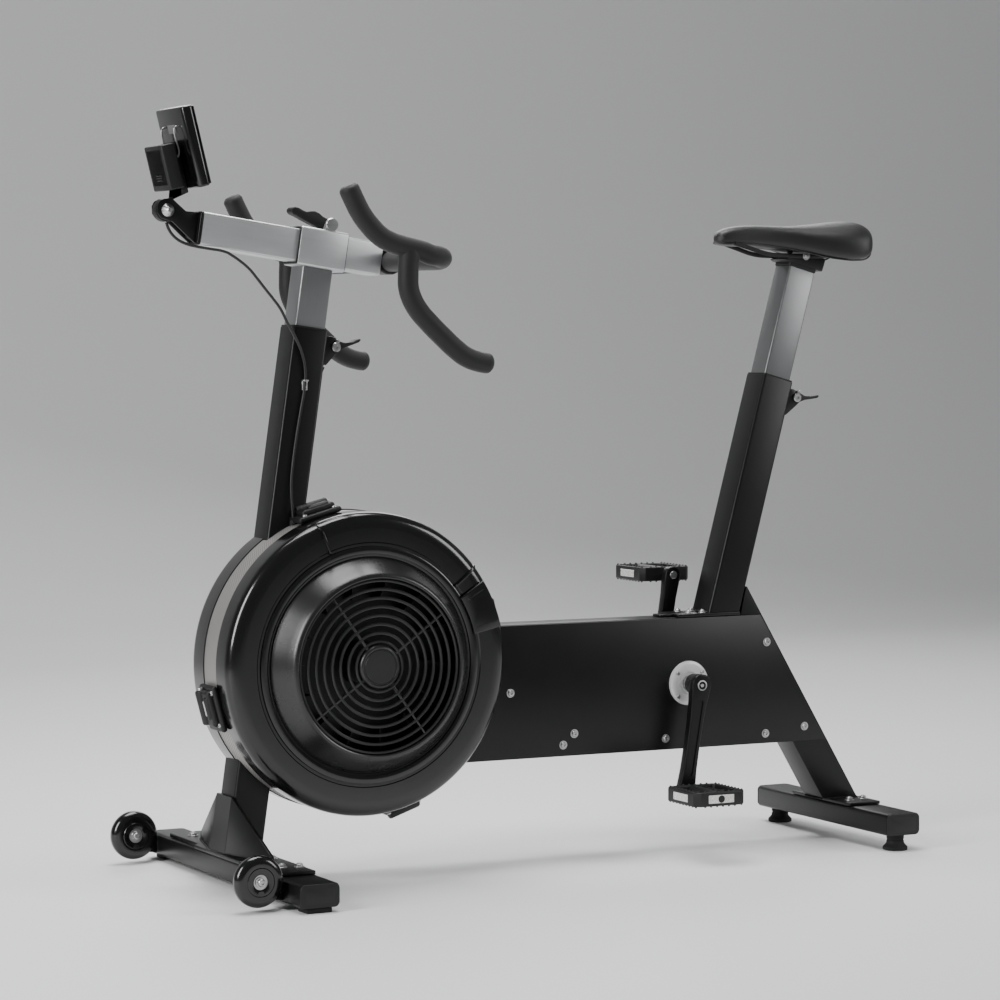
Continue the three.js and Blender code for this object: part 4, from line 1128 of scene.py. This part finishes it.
# ---- cranks and pedals ----
crankShape = {
    "length": bike["crankLength"], "inner": 62.3, "outer": 77.0, "angle": bike["crankAngle"],
    "upperHalf": [(-17.5, 6), (-14, 12), (-8, 16), (0, 17.5), (10, 16.5), (30, 14), (60, 12.2), (100, 11.6),
                  (135, 12), (158, 13.6), (170, 14), (178, 12), (182, 7)],
    "tip": (183, 0),
}


def makeCrank(name, side):
    turn = math.radians(crankShape["angle"])
    down = Vector((math.sin(turn), 0, -math.cos(turn))) * side
    flat = Vector((down.z, 0, -down.x))
    x, z = bike["crank"]
    out = Vector((0, side, 0))
    place = Matrix(((down.x, flat.x, out.x, x), (down.y, flat.y, out.y, 0), (down.z, flat.z, out.z, z),
                    (0, 0, 0, 1)))
    low, high, length = crankShape["inner"], crankShape["outer"], crankShape["length"]
    above = crankShape["upperHalf"]
    arm = slab(above + [crankShape["tip"]] + [(a, -b) for a, b in reversed(above)], low, high, 2.2, 3)
    groove = slab(mirrored([(24, -5.2), (26, -6.6), (142, -5.4), (146, -3.6)]), high - 1.9, high + 4, 0)
    body = carved(arm, groove)
    boss = turned([(12.4, 49.5), (16.2, 49.5), (17, 50.3), (17, low + 0.2), (12.4, low + 0.2)], 40)
    finished(gathered((body, place), (boss, place)), "crank_arm_" + name, paint, "crank", ["crank_" + name],
             40)
    ring = turned([(6.4, high - 0.4), (6.4, high + 0.6), (8.4, high + 0.8), (8.8, high - 0.4)], 40)
    bolt = drum(3.2, high - 1, high + 0.9, 0.4, 6, segments=1)
    nut = gathered((drum(11, 177.4, 178, 0.2, 6, segments=1), Matrix()),
                   (drum(6, high + 0.2, 86, 0.3, 24, segments=1), Matrix()),
                   (drum(9.2, high + 0.1, high + 3.4, 0.4, 24, segments=1), Matrix()),
                   (drum(6.4, low - 1.6, low + 0.2, 0.6, 24, segments=1), Matrix()))
    finished(gathered((ring, place), (bolt, place), (nut, place @ shifted(length, 0, 0))),
             "crank_bolt_" + name, zinc, "crank")

    base = bike["coverOuter"] + 0.3
    disc = turned([(12.6, base), (34.6, base), (35.6, base + 0.8), (36, base + 2.2), (35.2, base + 4.4),
                   (33, base + 6.1), (30.5, base + 6.7), (18.5, base + 6.2), (17, base + 4.6),
                   (12.6, base + 4.6)], 64)
    step = turned([(25.4, base + 5.9), (25.4, base + 6.7), (27, base + 6.7), (27, base + 5.9)], 56)
    shape = flipped(side) @ sideways(x, z)
    finished(gathered((disc, shape), (step, shape)), "spindle_cover_" + name, discCover, "frame",
             ["crank_disc_" + name])
    heads = [(button(3.5, 2.6), aimed((x + a, side * (base + 6.1), z + b), (0, side, 0)))
             for a, b in ((22, 17), (-23, 17), (21, -21), (-22, -20))]
    hardware(heads, "spindle_cover_screws_" + name)
    return place @ Vector((length, 0, 0))


pedal = {"inner": 86.0, "outer": 182.0, "half": 46.0, "tall": 13.0, "teeth": 9}


def makePedal(name, side, axle):
    inner, half, tall = pedal["inner"], pedal["half"], pedal["tall"]
    long = pedal["outer"] - inner
    outer = [(-half, 8), (-half + 7, 0), (half - 7, 0), (half, 8), (half, long - 9), (half - 9, long),
             (-half + 9, long), (-half, long - 9)]
    inside = [(-half + 8, 12), (-half + 11, 9), (half - 11, 9), (half - 8, 12), (half - 8, long - 13),
              (half - 13, long - 8), (-half + 13, long - 8), (-half + 8, long - 13)]
    parts = [framed(outer, inside, -tall + 1.6, tall - 1.6, 2.2, 3),
             (drum(11.2, 1, long - 1, 1.4, 36), spun(-90, "X"))]
    teeth = [(a * (half - 4.4), 8 + row * (long - 16) / (pedal["teeth"] - 1))
             for a in (-1, 1) for row in range(pedal["teeth"])]
    teeth += [(-27 + row * 10.8, y) for row in range(6) for y in (4.4, long - 4.2)]
    for a in (-1, 1):
        parts.append((block(5, long - 12, 15, 1.2), shifted(a * 22.5, long / 2, 0)))
        parts.append((block(half - 12, 6, 14, 1.2), shifted(a * (half / 2 + 2), long / 2 - 2, 0)))
    for x, y in teeth:
        for up in (1, -1):
            tip = shifted(x, y, up * (tall - 2.4)) @ spun(0 if up > 0 else 180, "X")
            parts.append((drum(2.7, 0, 2.6, 0.4, 6, 1.3, 1), tip))
    place = Matrix.Translation(axle) @ flipped(side) @ shifted(0, inner, 0)
    whole = gathered(*parts)
    finished(placed(whole, place), "pedal_cage_" + name, moulded, "pedal_" + name, ["pedal_" + name])
    lenses = []
    for a in (-1, 1):
        lenses.append((block(1.6, 44, 12, 0.6), shifted(a * (half + 0.1), long / 2, 0)))
    lenses.append((block(46, 1.6, 13, 0.6), shifted(0, long + 0.1, 0)))
    finished(placed(gathered(*lenses), place), "pedal_reflectors_" + name, lens, "pedal_" + name)
    cap = turned([(0, long + 1.6), (5.4, long + 1.4), (6.6, long + 0.4), (6.6, long - 4), (0, long - 4)],
                 24, False)
    finished(placed(cap, place @ spun(-90, "X")), "pedal_dust_cap_" + name, moulded, "pedal_" + name)


for name, side in bothSides:
    makePedal(name, side, makeCrank(name, side))
print("drive made")


# ---- seat post, rails and saddle ----
seatHead = {"postTop": 184.0, "railLift": 962.0, "railRadius": 3.6}


def makeSeatPost():
    body = framed(roundRect(postHalf["deep"], postHalf["side"], postHalf["corner"]),
                  roundRect(postHalf["deep"] - 3, postHalf["side"] - 3, 1.5), -200, seatHead["postTop"],
                  0.7)
    marks = [(drum(4.2, -0.3, 0.35, 0.1, 20, segments=1),
              shifted(0, postHalf["side"], z) @ spun(-90, "X"))
             for z in (-160, -130)]
    finished(placed(gathered(body, *marks), seatPlace), "seat_pillar", seatAlloyShadedCopy, "seat", ["seat_post"], 40)


def seatAt(distance):
    tilt = math.radians(bike["seatTilt"])
    return (bike["seatTop"][0] - math.sin(tilt) * distance, bike["seatTop"][1] + math.cos(tilt) * distance)


def makeSeatHead():
    hx, hz = seatAt(seatHead["postTop"] + 0.3)
    plug = slab(roundRect(postHalf["deep"] + 1.2, postHalf["side"] + 1.2, 4), 0, 7, 1.4, 3)
    cradle = slab([(hx + 30, hz + 13), (hx + 35, 957), (hx + 28, 959), (hx - 38, 959), (hx - 45, 957),
                   (hx - 38, hz - 4)], -24, 24, 2.2, 3)
    cradle = carved(placed(cradle, sideOn),
                    placed(block(140, 90, 30, 0), seatPlace @ shifted(0, 0, seatHead["postTop"] - 14.6)))
    keeper = slab([(hx - 38, 957.4), (hx + 28, 957.4), (hx + 30, 961), (hx + 26, 965.8), (hx - 36, 965.8),
                   (hx - 40, 961)], -24.8, 24.8, 1.8, 3)
    place = seatPlace @ shifted(0, 0, seatHead["postTop"] + 0.35)
    finished(gathered((plug, place), cradle, (keeper, sideOn)), "saddle_clamp_block", moulded, "seat",
             ["seat_clamp"])
    rails = bmesh.new()
    lift = seatHead["railLift"]
    for side in (1, -1):
        y = 22 * side
        line = openLine([(-368, y * 0.8, 981), (-392, y * 0.9, 974), (-430, y, lift + 2), (-470, y, lift),
                         (-520, y, lift), (-556, y * 1.3, lift + 3), (-583, y * 1.75, 977)], 8)
        joinInto(rails, tubeAlong(line, seatHead["railRadius"], 5))
    nuts = [(hexBolt(5, 4), aimed((hx - 6, side * 25, 961.6), (0, side, 0))) for side in (1, -1)]
    nuts.append((drum(3, -31, 31, 0.5, 20), shifted(hx - 6, 0, 961.6) @ spun(90, "X")))
    finished(rails, "saddle_rails", rubber, "seat", (), 60)
    hardware(nuts, "saddle_clamp_nuts", "seat")


makeSeatPost()
makeSeatHead()

saddle = {
    "nose": -341.0, "tail": -614.0, "ring": 24,
    "stations": [(0.0, 4, 992, 984), (0.012, 12, 998, 979), (0.04, 18, 1004, 976.5), (0.12, 22, 1009, 976),
                 (0.22, 24.5, 1011, 975.5), (0.34, 30, 1010.5, 972), (0.45, 38, 1010, 966.5),
                 (0.55, 50, 1011.5, 961), (0.65, 62, 1014.5, 955), (0.75, 72, 1018, 951.5),
                 (0.84, 77, 1020.5, 950.5), (0.91, 76, 1021, 953), (0.96, 67, 1018, 961),
                 (0.99, 49, 1011, 974), (1.0, 31, 1004, 984)],
}


def saddlePoint(share, half, top, low, angle, grow=0.0):
    x = saddle["nose"] + (saddle["tail"] - saddle["nose"]) * share
    c, s = math.cos(angle), math.sin(angle)
    y = (half + grow) * math.copysign(abs(c) ** 0.75, c)
    droop = max(0, half - 40) * 0.36
    across = min(1, (y / half) ** 2)
    hollow = max(0, half - 30) * 0.5 * (1 - across) ** 1.5 if s < 0 else 0
    middle, tall = (top + low) / 2, (top - low) / 2 + grow
    return Vector((x, y, middle + tall * math.copysign(abs(s) ** 0.7, s) - droop * across + hollow))


def makeSaddle():
    count = saddle["ring"]
    shape = bmesh.new()
    rings = []
    for station in saddle["stations"]:
        ring = [shape.verts.new(saddlePoint(*station, 2 * math.pi * (k + 0.5) / count))
                for k in range(count)]
        rings.append([shape.edges.new(pair) for pair in zip(ring, ring[1:] + ring[:1])])
    for first, second in zip(rings, rings[1:]):
        bmesh.ops.bridge_loops(shape, edges=first + second)
    for end in (rings[0], rings[-1]):
        caps = bmesh.ops.contextual_create(shape, geom=end)["faces"]
        for k in (1, 2):
            bmesh.ops.inset_region(shape, faces=caps, thickness=1.0 if end is rings[0] else 6.0)
    cover = finished(shape, "saddle_cushion", skin, "seat", ["saddle"], 60, 2)

    angle = math.radians(-38)
    for name, side in bothSides:
        line = [saddlePoint(*station, angle if side > 0 else math.pi - angle, 0.2)
                for station in saddle["stations"][1:-1]]
        smooth = openLine(line, 10)
        piping = tubeAlong(smooth, 1.5, 3)
        finished(piping, "saddle_welt_" + name, skin, "seat", (), 60)
        stitches = bmesh.new()
        steps = [smooth[0]]
        for point in smooth:
            if (point - steps[-1]).length > 4.6:
                steps.append(point)
        for a, b in zip(steps, steps[1:]):
            turn = (b - a).to_track_quat("X", "Z").to_matrix().to_4x4()
            lift = Vector((0, side * 1.5, 3.0))
            place = Matrix.Translation(a.lerp(b, 0.5) + lift) @ turn
            bmesh.ops.create_icosphere(stitches, subdivisions=1, radius=1, matrix=place @
                                       Matrix.Diagonal((1.7, 0.55, 0.55, 1)))
        finished(stitches, "saddle_stitches_" + name, thread, "seat", (), 60)

    base = slab(mirrored([(-540, -17), (-580, -40), (-596, -34), (-602, -18)]), 970, 974, 1.4, 2)
    finished(base, "saddle_base_shell", moulded, "seat")


makeSaddle()
print("seat made")


# ---- handlebar post, sleeve and slider ----
sleeve = {"halfLong": 39.0, "halfDeep": 30.0, "halfWide": 27.5, "sliderDeep": 25.0, "sliderWide": 22.0}


def makeBarPost():
    body = framed(roundRect(postHalf["deep"], postHalf["side"], postHalf["corner"]),
                  roundRect(postHalf["deep"] - 3, postHalf["side"] - 3, 1.5), -190, 130, 0.5)
    under = slidePlace @ shifted(-169.7, 0, 0)
    shape = carved(placed(body, uprightPlace), placed(block(400, 160, 400, 0), under))
    finished(shape, "bar_pillar", postAlloyShadedCopy, "bar_post", ["handlebar_post"], 40)

    body = framed(roundRect(sleeve["halfDeep"], sleeve["halfWide"], 4.5),
                  roundRect(sleeve["sliderDeep"] + 0.5, sleeve["sliderWide"] + 0.5, 3),
                  -sleeve["halfLong"], sleeve["halfLong"], 0.9)
    rise = -sleeve["halfDeep"]
    parts = [(body, slidePlace)]
    for low in (-20, 12):
        ear = slab([(rise + 1, -20), (rise - 9, -17.5), (rise - 11.5, -15), (rise - 11.5, -5),
                    (rise - 9, -2.5), (rise + 1, 0)], low, low + 8, 1.2, 2)
        parts.append((ear, slidePlace @ sideOn))
    # Black rings at both sleeve ends stand in for the shaded gaps between sleeve and slider: painted shade.
    gapShadeRings = []
    for end in (-sleeve["halfLong"] - 1.6, sleeve["halfLong"] - 0.2):
        gapShadeRings.append((framed(roundRect(sleeve["sliderDeep"] + 3.4, sleeve["sliderWide"] + 3.4, 4),
                              roundRect(sleeve["sliderDeep"] + 0.3, sleeve["sliderWide"] + 0.3, 3), end,
                              end + 1.8, 0.4), slidePlace))
    finished(gathered(*gapShadeRings), "collar_liners", moulded, "bar_post")
    finished(gathered(*parts), "slider_collar", slideAlloyLitCopy, "bar_post", ["slider_sleeve"], 36)

    body = framed(roundRect(sleeve["sliderDeep"], sleeve["sliderWide"], 3),
                  roundRect(sleeve["sliderDeep"] - 3, sleeve["sliderWide"] - 3, 1.5),
                  bike["slideRear"], bike["slideFront"], 0.7)
    finished(placed(body, slidePlace), "slide_bar", slideAlloyLitCopy, "slider", ["slider"], 40)


def makeSleeveLever():
    pivot = pivotOf("sleeve_lever_open")
    tilt = bike["sliderTilt"]
    turn = shifted(pivot.x, 0, pivot.z) @ spun(-tilt, "Y") @ sideOn
    blade = [(-10, 2), (-8.6, 7), (-3, 9.4), (4, 9.6), (10, 11.4), (16, 15.2), (24, 17.4), (31, 16.4),
             (37, 14.2), (44, 15.6), (52, 18.4), (59, 18.6), (63, 15.2), (63.6, 10.6), (60, 7), (50, 4.6),
             (38, 0.6), (26, -3), (14, -6), (6, -8.2), (-4, -9), (-9, -5)]
    lever = slab(blade, -10.2, 10.2, 2.0, 3)
    bore = drum(4.3, -30, 30, 0, 28)
    shape = carved(lever, bore)
    finished(placed(shape, turn), "collar_cam_handle", moulded, "sleeve_lever", ["sleeve_lever"])
    barrel = [(0, -24.5), (6.4, -24.5), (7.6, -23.2), (7.6, -20.3), (4, -20.3), (4, 20.3), (9.6, 20.3),
              (10.2, 21), (10.2, 25.2), (9.2, 26.6), (4.4, 26.9), (0, 26.9)]
    nut = carved(turned(barrel, 40, False), placed(block(30, 2.4, 4, 0), shifted(0, 0, 27.4)))
    shape = shifted(pivot.x, 0, pivot.z) @ spun(-90, "X")
    finished(placed(nut, shape), "collar_cam_bolt", zinc, "bar_post")


makeBarPost()
makeSleeveLever()


def makeStem():
    rear = bike["slideRear"] - 0.3
    outline = [(-17, rear), (17, rear), (21, rear - 12), (20, rear - 24), (12, rear - 35), (-12, rear - 35),
               (-20, rear - 24), (-21, rear - 12)]
    body = placed(slab(outline, -21, 21, 3.2, 4), slidePlace @ sideOn)
    bore = placed(drum(bike["barRadius"] + 0.4, -40, 40, 0, 48), sideways(*bike["bar"]))
    body = carved(body, bore)
    finished(body, "bar_clamp", paint, "slider", ["stem"])
    bolts = []
    for up in (-14, 14):
        for y in (-13, 13):
            bolts.append((button(4.2, 3), slidePlace @ shifted(up * 0.72, y, rear - 34.6) @ spun(180, "X")))
    hardware(bolts, "bar_clamp_bolts", "slider")


def hornLine(side):
    y, bend, x = side * bike["barHalfSpan"], 28, bike["bar"][0]
    line = [(413, y, 1050), (403, y, 1030), (391, y, 1009), (376, y, 991), (360, y, 977), (344, y, 969),
            (327, y, 964), (309, y, 960), (292, y, 956), (x + bend, y, 951)]
    for k in range(1, 6):
        turn = k / 5 * math.pi / 2
        line.append((x + bend * (1 - math.sin(turn)), side * (abs(y) - bend * (1 - math.cos(turn))),
                     951 - (951 - bike["bar"][1]) * k / 5))
    return line + [(x, side * 120, bike["bar"][1]), (x, side * 60, bike["bar"][1]), (x, 0, bike["bar"][1])]


def makeHandlebar():
    radius = bike["barRadius"]
    grip = bmesh.new()
    ends = (0.72, 0.9, 0.98)
    whole = hornLine(1) + [p for p in reversed(hornLine(-1))][1:]
    line = openLine(whole, 10)
    joinInto(grip, tubeAlong(line, radius, 9, ends))
    plugs = bmesh.new()
    for side in (1, -1):
        y = side * bike["barHalfSpan"]
        drop = openLine([(313, y, 958), (315, y, 940), (315.5, y, 922), (315, y, 903), (310, y, 887),
                         (299, y, 869), (281, y, 850), (258, y, 829), (238, y, 812), (220, y, 800),
                         (200, y, 793), (178.6, y, 789.6)], 10)
        joinInto(grip, tubeAlong(drop, radius - 0.05, 9, ends))
        joinInto(grip, tubeAlong([Vector((313, y, 962)), Vector((314, y, 948)), Vector((314.6, y, 936))],
                                 radius + 1.1, 9, (0.9, 1.0)))
        for tip, inner in ((drop[-1], drop[-3]), (Vector((413, y, 1050)), Vector((409, y, 1042)))):
            cap = turned([(0, -3), (radius * 0.72, -3), (radius * 0.76, -1.2), (radius * 0.7, 0.2),
                          (radius * 0.45, 0.9), (0, 1.1)], 28, False)
            joinInto(plugs, cap, aimed(tip, tip - inner))
    finished(grip, "handlebar_grips", foam, "slider", ["handlebar"], 50)
    finished(plugs, "handlebar_end_plugs", moulded, "slider")


makeStem()
makeHandlebar()
print("bars made")


# ---- monitor and its arm ----
def slideAt(along, up=0.0):
    tilt = math.radians(bike["sliderTilt"])
    return (bike["sleeve"][0] + math.cos(tilt) * along - math.sin(tilt) * up,
            bike["sleeve"][1] + math.sin(tilt) * along + math.cos(tilt) * up)


def makeArm():
    front = bike["slideFront"]
    cap = slab(roundRect(25.4, 22.4, 4), front + 0.3, front + 5.2, 1.6, 3)
    outline = [slideAt(front + 4, -24), slideAt(front + 12, -19), slideAt(front + 20, -14), (604, 1001),
               (622, 1006), (627.4, 1013), (628, 1024), (624.5, 1031), (617, 1035), (604, 1035.4),
               slideAt(front + 26, 22), slideAt(front + 4, 24)]
    sides = [(slab(outline, low, low + 4.2, 1.2, 2), sideOn) for low in (8.9, -13.1)]
    bridge = slab([slideAt(front + 4, -20), slideAt(front + 14, -15), slideAt(front + 14, 15),
                   slideAt(front + 4, 20)], -9.2, 9.2, 0.8, 2)
    finished(gathered((cap, slidePlace), *sides, (bridge, sideOn)), "monitor_bracket", paint, "slider",
             ["monitor_arm"])
    x, z = bike["knuckle"]
    bolt = [(drum(5, -17, 17, 0.5, 24), sideways(x, z))]
    bolt.append((turned([(0, 13.1), (9.4, 13.1), (10, 14), (9.2, 16.2), (6.2, 19.4), (4.6, 22.4),
                         (3.4, 23.4), (0, 23.6)], 32, False), sideways(x, z)))
    bolt.append((hexBolt(7.4, 6), aimed((x, -13.2, z), (0, -1, 0))))
    hardware(bolt, "tilt_bolt", "slider")


def boxOf(low, high, front, back, half, radius=4.0, edge=2.6):
    shape = slab(roundRect(half, (back - front) / 2, radius, 5), low, high, edge, 4)
    return shape, shifted((front + back) / 2, 0, 0) @ spun(90, "Z")


def makeMonitor():
    x, z = bike["knuckle"]
    inner = monitorPlace.inverted()
    knuckle = inner @ Vector((x, 0, z))
    stalk = slab([(2, -66), (2, 12), (15.9, 12), (15.9, -66), (knuckle.x + 9, knuckle.z + 14),
                  (knuckle.x - 14, knuckle.z + 13)], -8.4, 8.4, 1.4, 2)
    eye = placed(drum(17, -8.4, 8.4, 1.4, 40), sideways(x, z))
    bore = placed(drum(5.2, -30, 30, 0, 28), sideways(x, z))
    body = carved(gathered((stalk, monitorPlace @ sideOn), eye), bore)
    case, turn = boxOf(-56, 12, 16, 40, 35)
    door, doorTurn = boxOf(-48, 6, 38.6, 40.0, 28, 0.5, 0.4)
    rib = [(block(1.0, 22, 1.6, 0.3, 1), monitorPlace @ shifted(40, 0, zz)) for zz in (-40, -36.5, -33)]
    finished(gathered(body, (case, monitorPlace @ turn), (door, monitorPlace @ doorTurn), *rib),
             "battery_case", moulded, "monitor", ["monitor_back"])

    shell, turn = boxOf(-61, 61, -17.4, 1.7, 55, 7, 3.4)
    bezel, bezelTurn = boxOf(-58.5, 58.5, -19, -16.8, 52.5, 0.9, 0.7)
    finished(gathered((shell, monitorPlace @ turn), (bezel, monitorPlace @ bezelTurn)), "monitor_case",
             gloss, "monitor", ["monitor"])
    screen, screenTurn = boxOf(4, 48, -19.6, -18.6, 40, 0.4, 0.3)
    finished(gathered((screen, monitorPlace @ screenTurn)), "monitor_display", glass, "monitor")
    surround = framed(roundRect(43, 25, 4), roundRect(40.2, 22.2, 2.5), 0, 1.5, 0.5)
    keys = [(block(2.2, 17, 9, 0.9), monitorPlace @ shifted(-19.4, y, -34)) for y in (-28, 0, 28)]
    keys.append((block(2.2, 34, 8, 0.9), monitorPlace @ shifted(-19.4, 0, -15)))
    finished(gathered(*keys), "monitor_keys", pad, "monitor")
    side = monitorPlace @ shifted(-20, 0, 26) @ \
        Matrix(((0, 0, 1, 0), (1, 0, 0, 0), (0, 1, 0, 0), (0, 0, 0, 1)))
    finished(gathered((surround, side)), "monitor_screen_frame", moulded, "monitor")

    wire = bmesh.new()
    for y in (26, -26):
        loop = openLine([(1.4, y, 34), (7, y, 33), (10, y, 26), (10, y, 12), (10.5, y, -6), (15, y, -12),
                         (17, y, -14)], 6)
        joinInto(wire, tubeAlong(loop, 1.3, 3), monitorPlace)
    finished(wire, "monitor_wire_clip", zinc, "monitor")
    patch = block(0.8, 30, 13, 0.3)
    finished(placed(patch, monitorPlace @ shifted(2.2, 0, 30)), "monitor_vent_plate", pad, "monitor")


makeArm()
makeMonitor()


def makeCableFittings():
    y = 28.6
    clip = [(block(9, 2.2, 16, 0.8), shifted(398, y + 0.9, 757)),
            (block(9, 6.4, 2.4, 0.8), shifted(398, y + 3.6, 763.6)),
            (button(3.2, 2.4), aimed((398, y + 2.1, 751.6), (0, 1, 0)))]
    hardware(clip, "cable_clip")
    grommet = turned([(2.3, -3), (5.4, -3), (6, -2), (6, 1.6), (4.4, 3.4), (3, 5.6), (2.3, 5.6)], 28)
    finished(placed(grommet, aimed((419.9, 36, 549), (0.04, -0.04, 1))), "cable_grommet", rubber, "frame")


makeCableFittings()
print("monitor made")


# ---- floor and lights ----
studio = {
    "sweep": 9.0, "back": -5.5, "bend": 2.2, "wallTop": 7.0, "air": (0.95, 0.97, 1, 1), "airStrength": 0.16,
    "lamps": {
        "top_light": {"place": (0.2, -0.3, 3.2), "target": (0, 0, 0.4), "size": (2.0, 1.6), "power": 105},
        "key_light": {"place": (3.6, 1.0, 1.9), "target": (0.1, 0, 0.6), "size": (0.9, 2.2), "power": 105},
        "fill_light": {"place": (-3.2, 2.2, 2.2), "target": (0, 0, 0.5), "size": (1.4, 2.0), "power": 60},
        "rear_light": {"place": (-1.4, -3.2, 2.6), "target": (0, 0, 0.6), "size": (2.2, 1.8), "power": 45},
    },
}


def makeStudio():
    f = Finish("studio_floor", specular=0.3)
    cloud = f.noise(0.6, 3)
    f.feed(colour=f.tint(cloud, grey(0.86), grey(0.90)), rough=f.spread(cloud, 0.5, 0.6))
    shape = bmesh.new()
    sweep, back, bend = studio["sweep"], studio["back"], studio["bend"]
    line = [shape.verts.new((-sweep, back, studio["wallTop"])), shape.verts.new((-sweep, back, bend))]
    for k in range(1, 9):
        turn = k / 8 * math.pi / 2
        across, up = back + bend * (1 - math.cos(turn)), bend * (1 - math.sin(turn))
        line.append(shape.verts.new((-sweep, across, up)))
    line.append(shape.verts.new((-sweep, sweep, 0)))
    edges = [shape.edges.new(pair) for pair in zip(line, line[1:])]
    grown = bmesh.ops.extrude_edge_only(shape, edges=edges)
    raised = [v for v in grown["geom"] if isinstance(v, bmesh.types.BMVert)]
    bmesh.ops.translate(shape, verts=raised, vec=(2 * sweep, 0, 0))
    bmesh.ops.recalc_face_normals(shape, faces=shape.faces)
    shown(shape, "studio_floor", f.material)

    for name, lamp in studio["lamps"].items():
        data = bpy.data.lights.new(name, "AREA")
        data.shape, data.energy = "RECTANGLE", lamp["power"]
        data.size, data.size_y = lamp["size"]
        holder = bpy.data.objects.new(name, data)
        holder.location = lamp["place"]
        aim = Vector(lamp["target"]) - Vector(lamp["place"])
        holder.rotation_euler = aim.to_track_quat("-Z", "Y").to_euler()
        bpy.context.scene.collection.objects.link(holder)

    world = bpy.data.worlds.new("studio_air")
    world.use_nodes = True
    background = world.node_tree.nodes["Background"]
    background.inputs["Color"].default_value = studio["air"]
    background.inputs["Strength"].default_value = studio["airStrength"]
    bpy.context.scene.world = world


makeStudio()
print("studio lit")
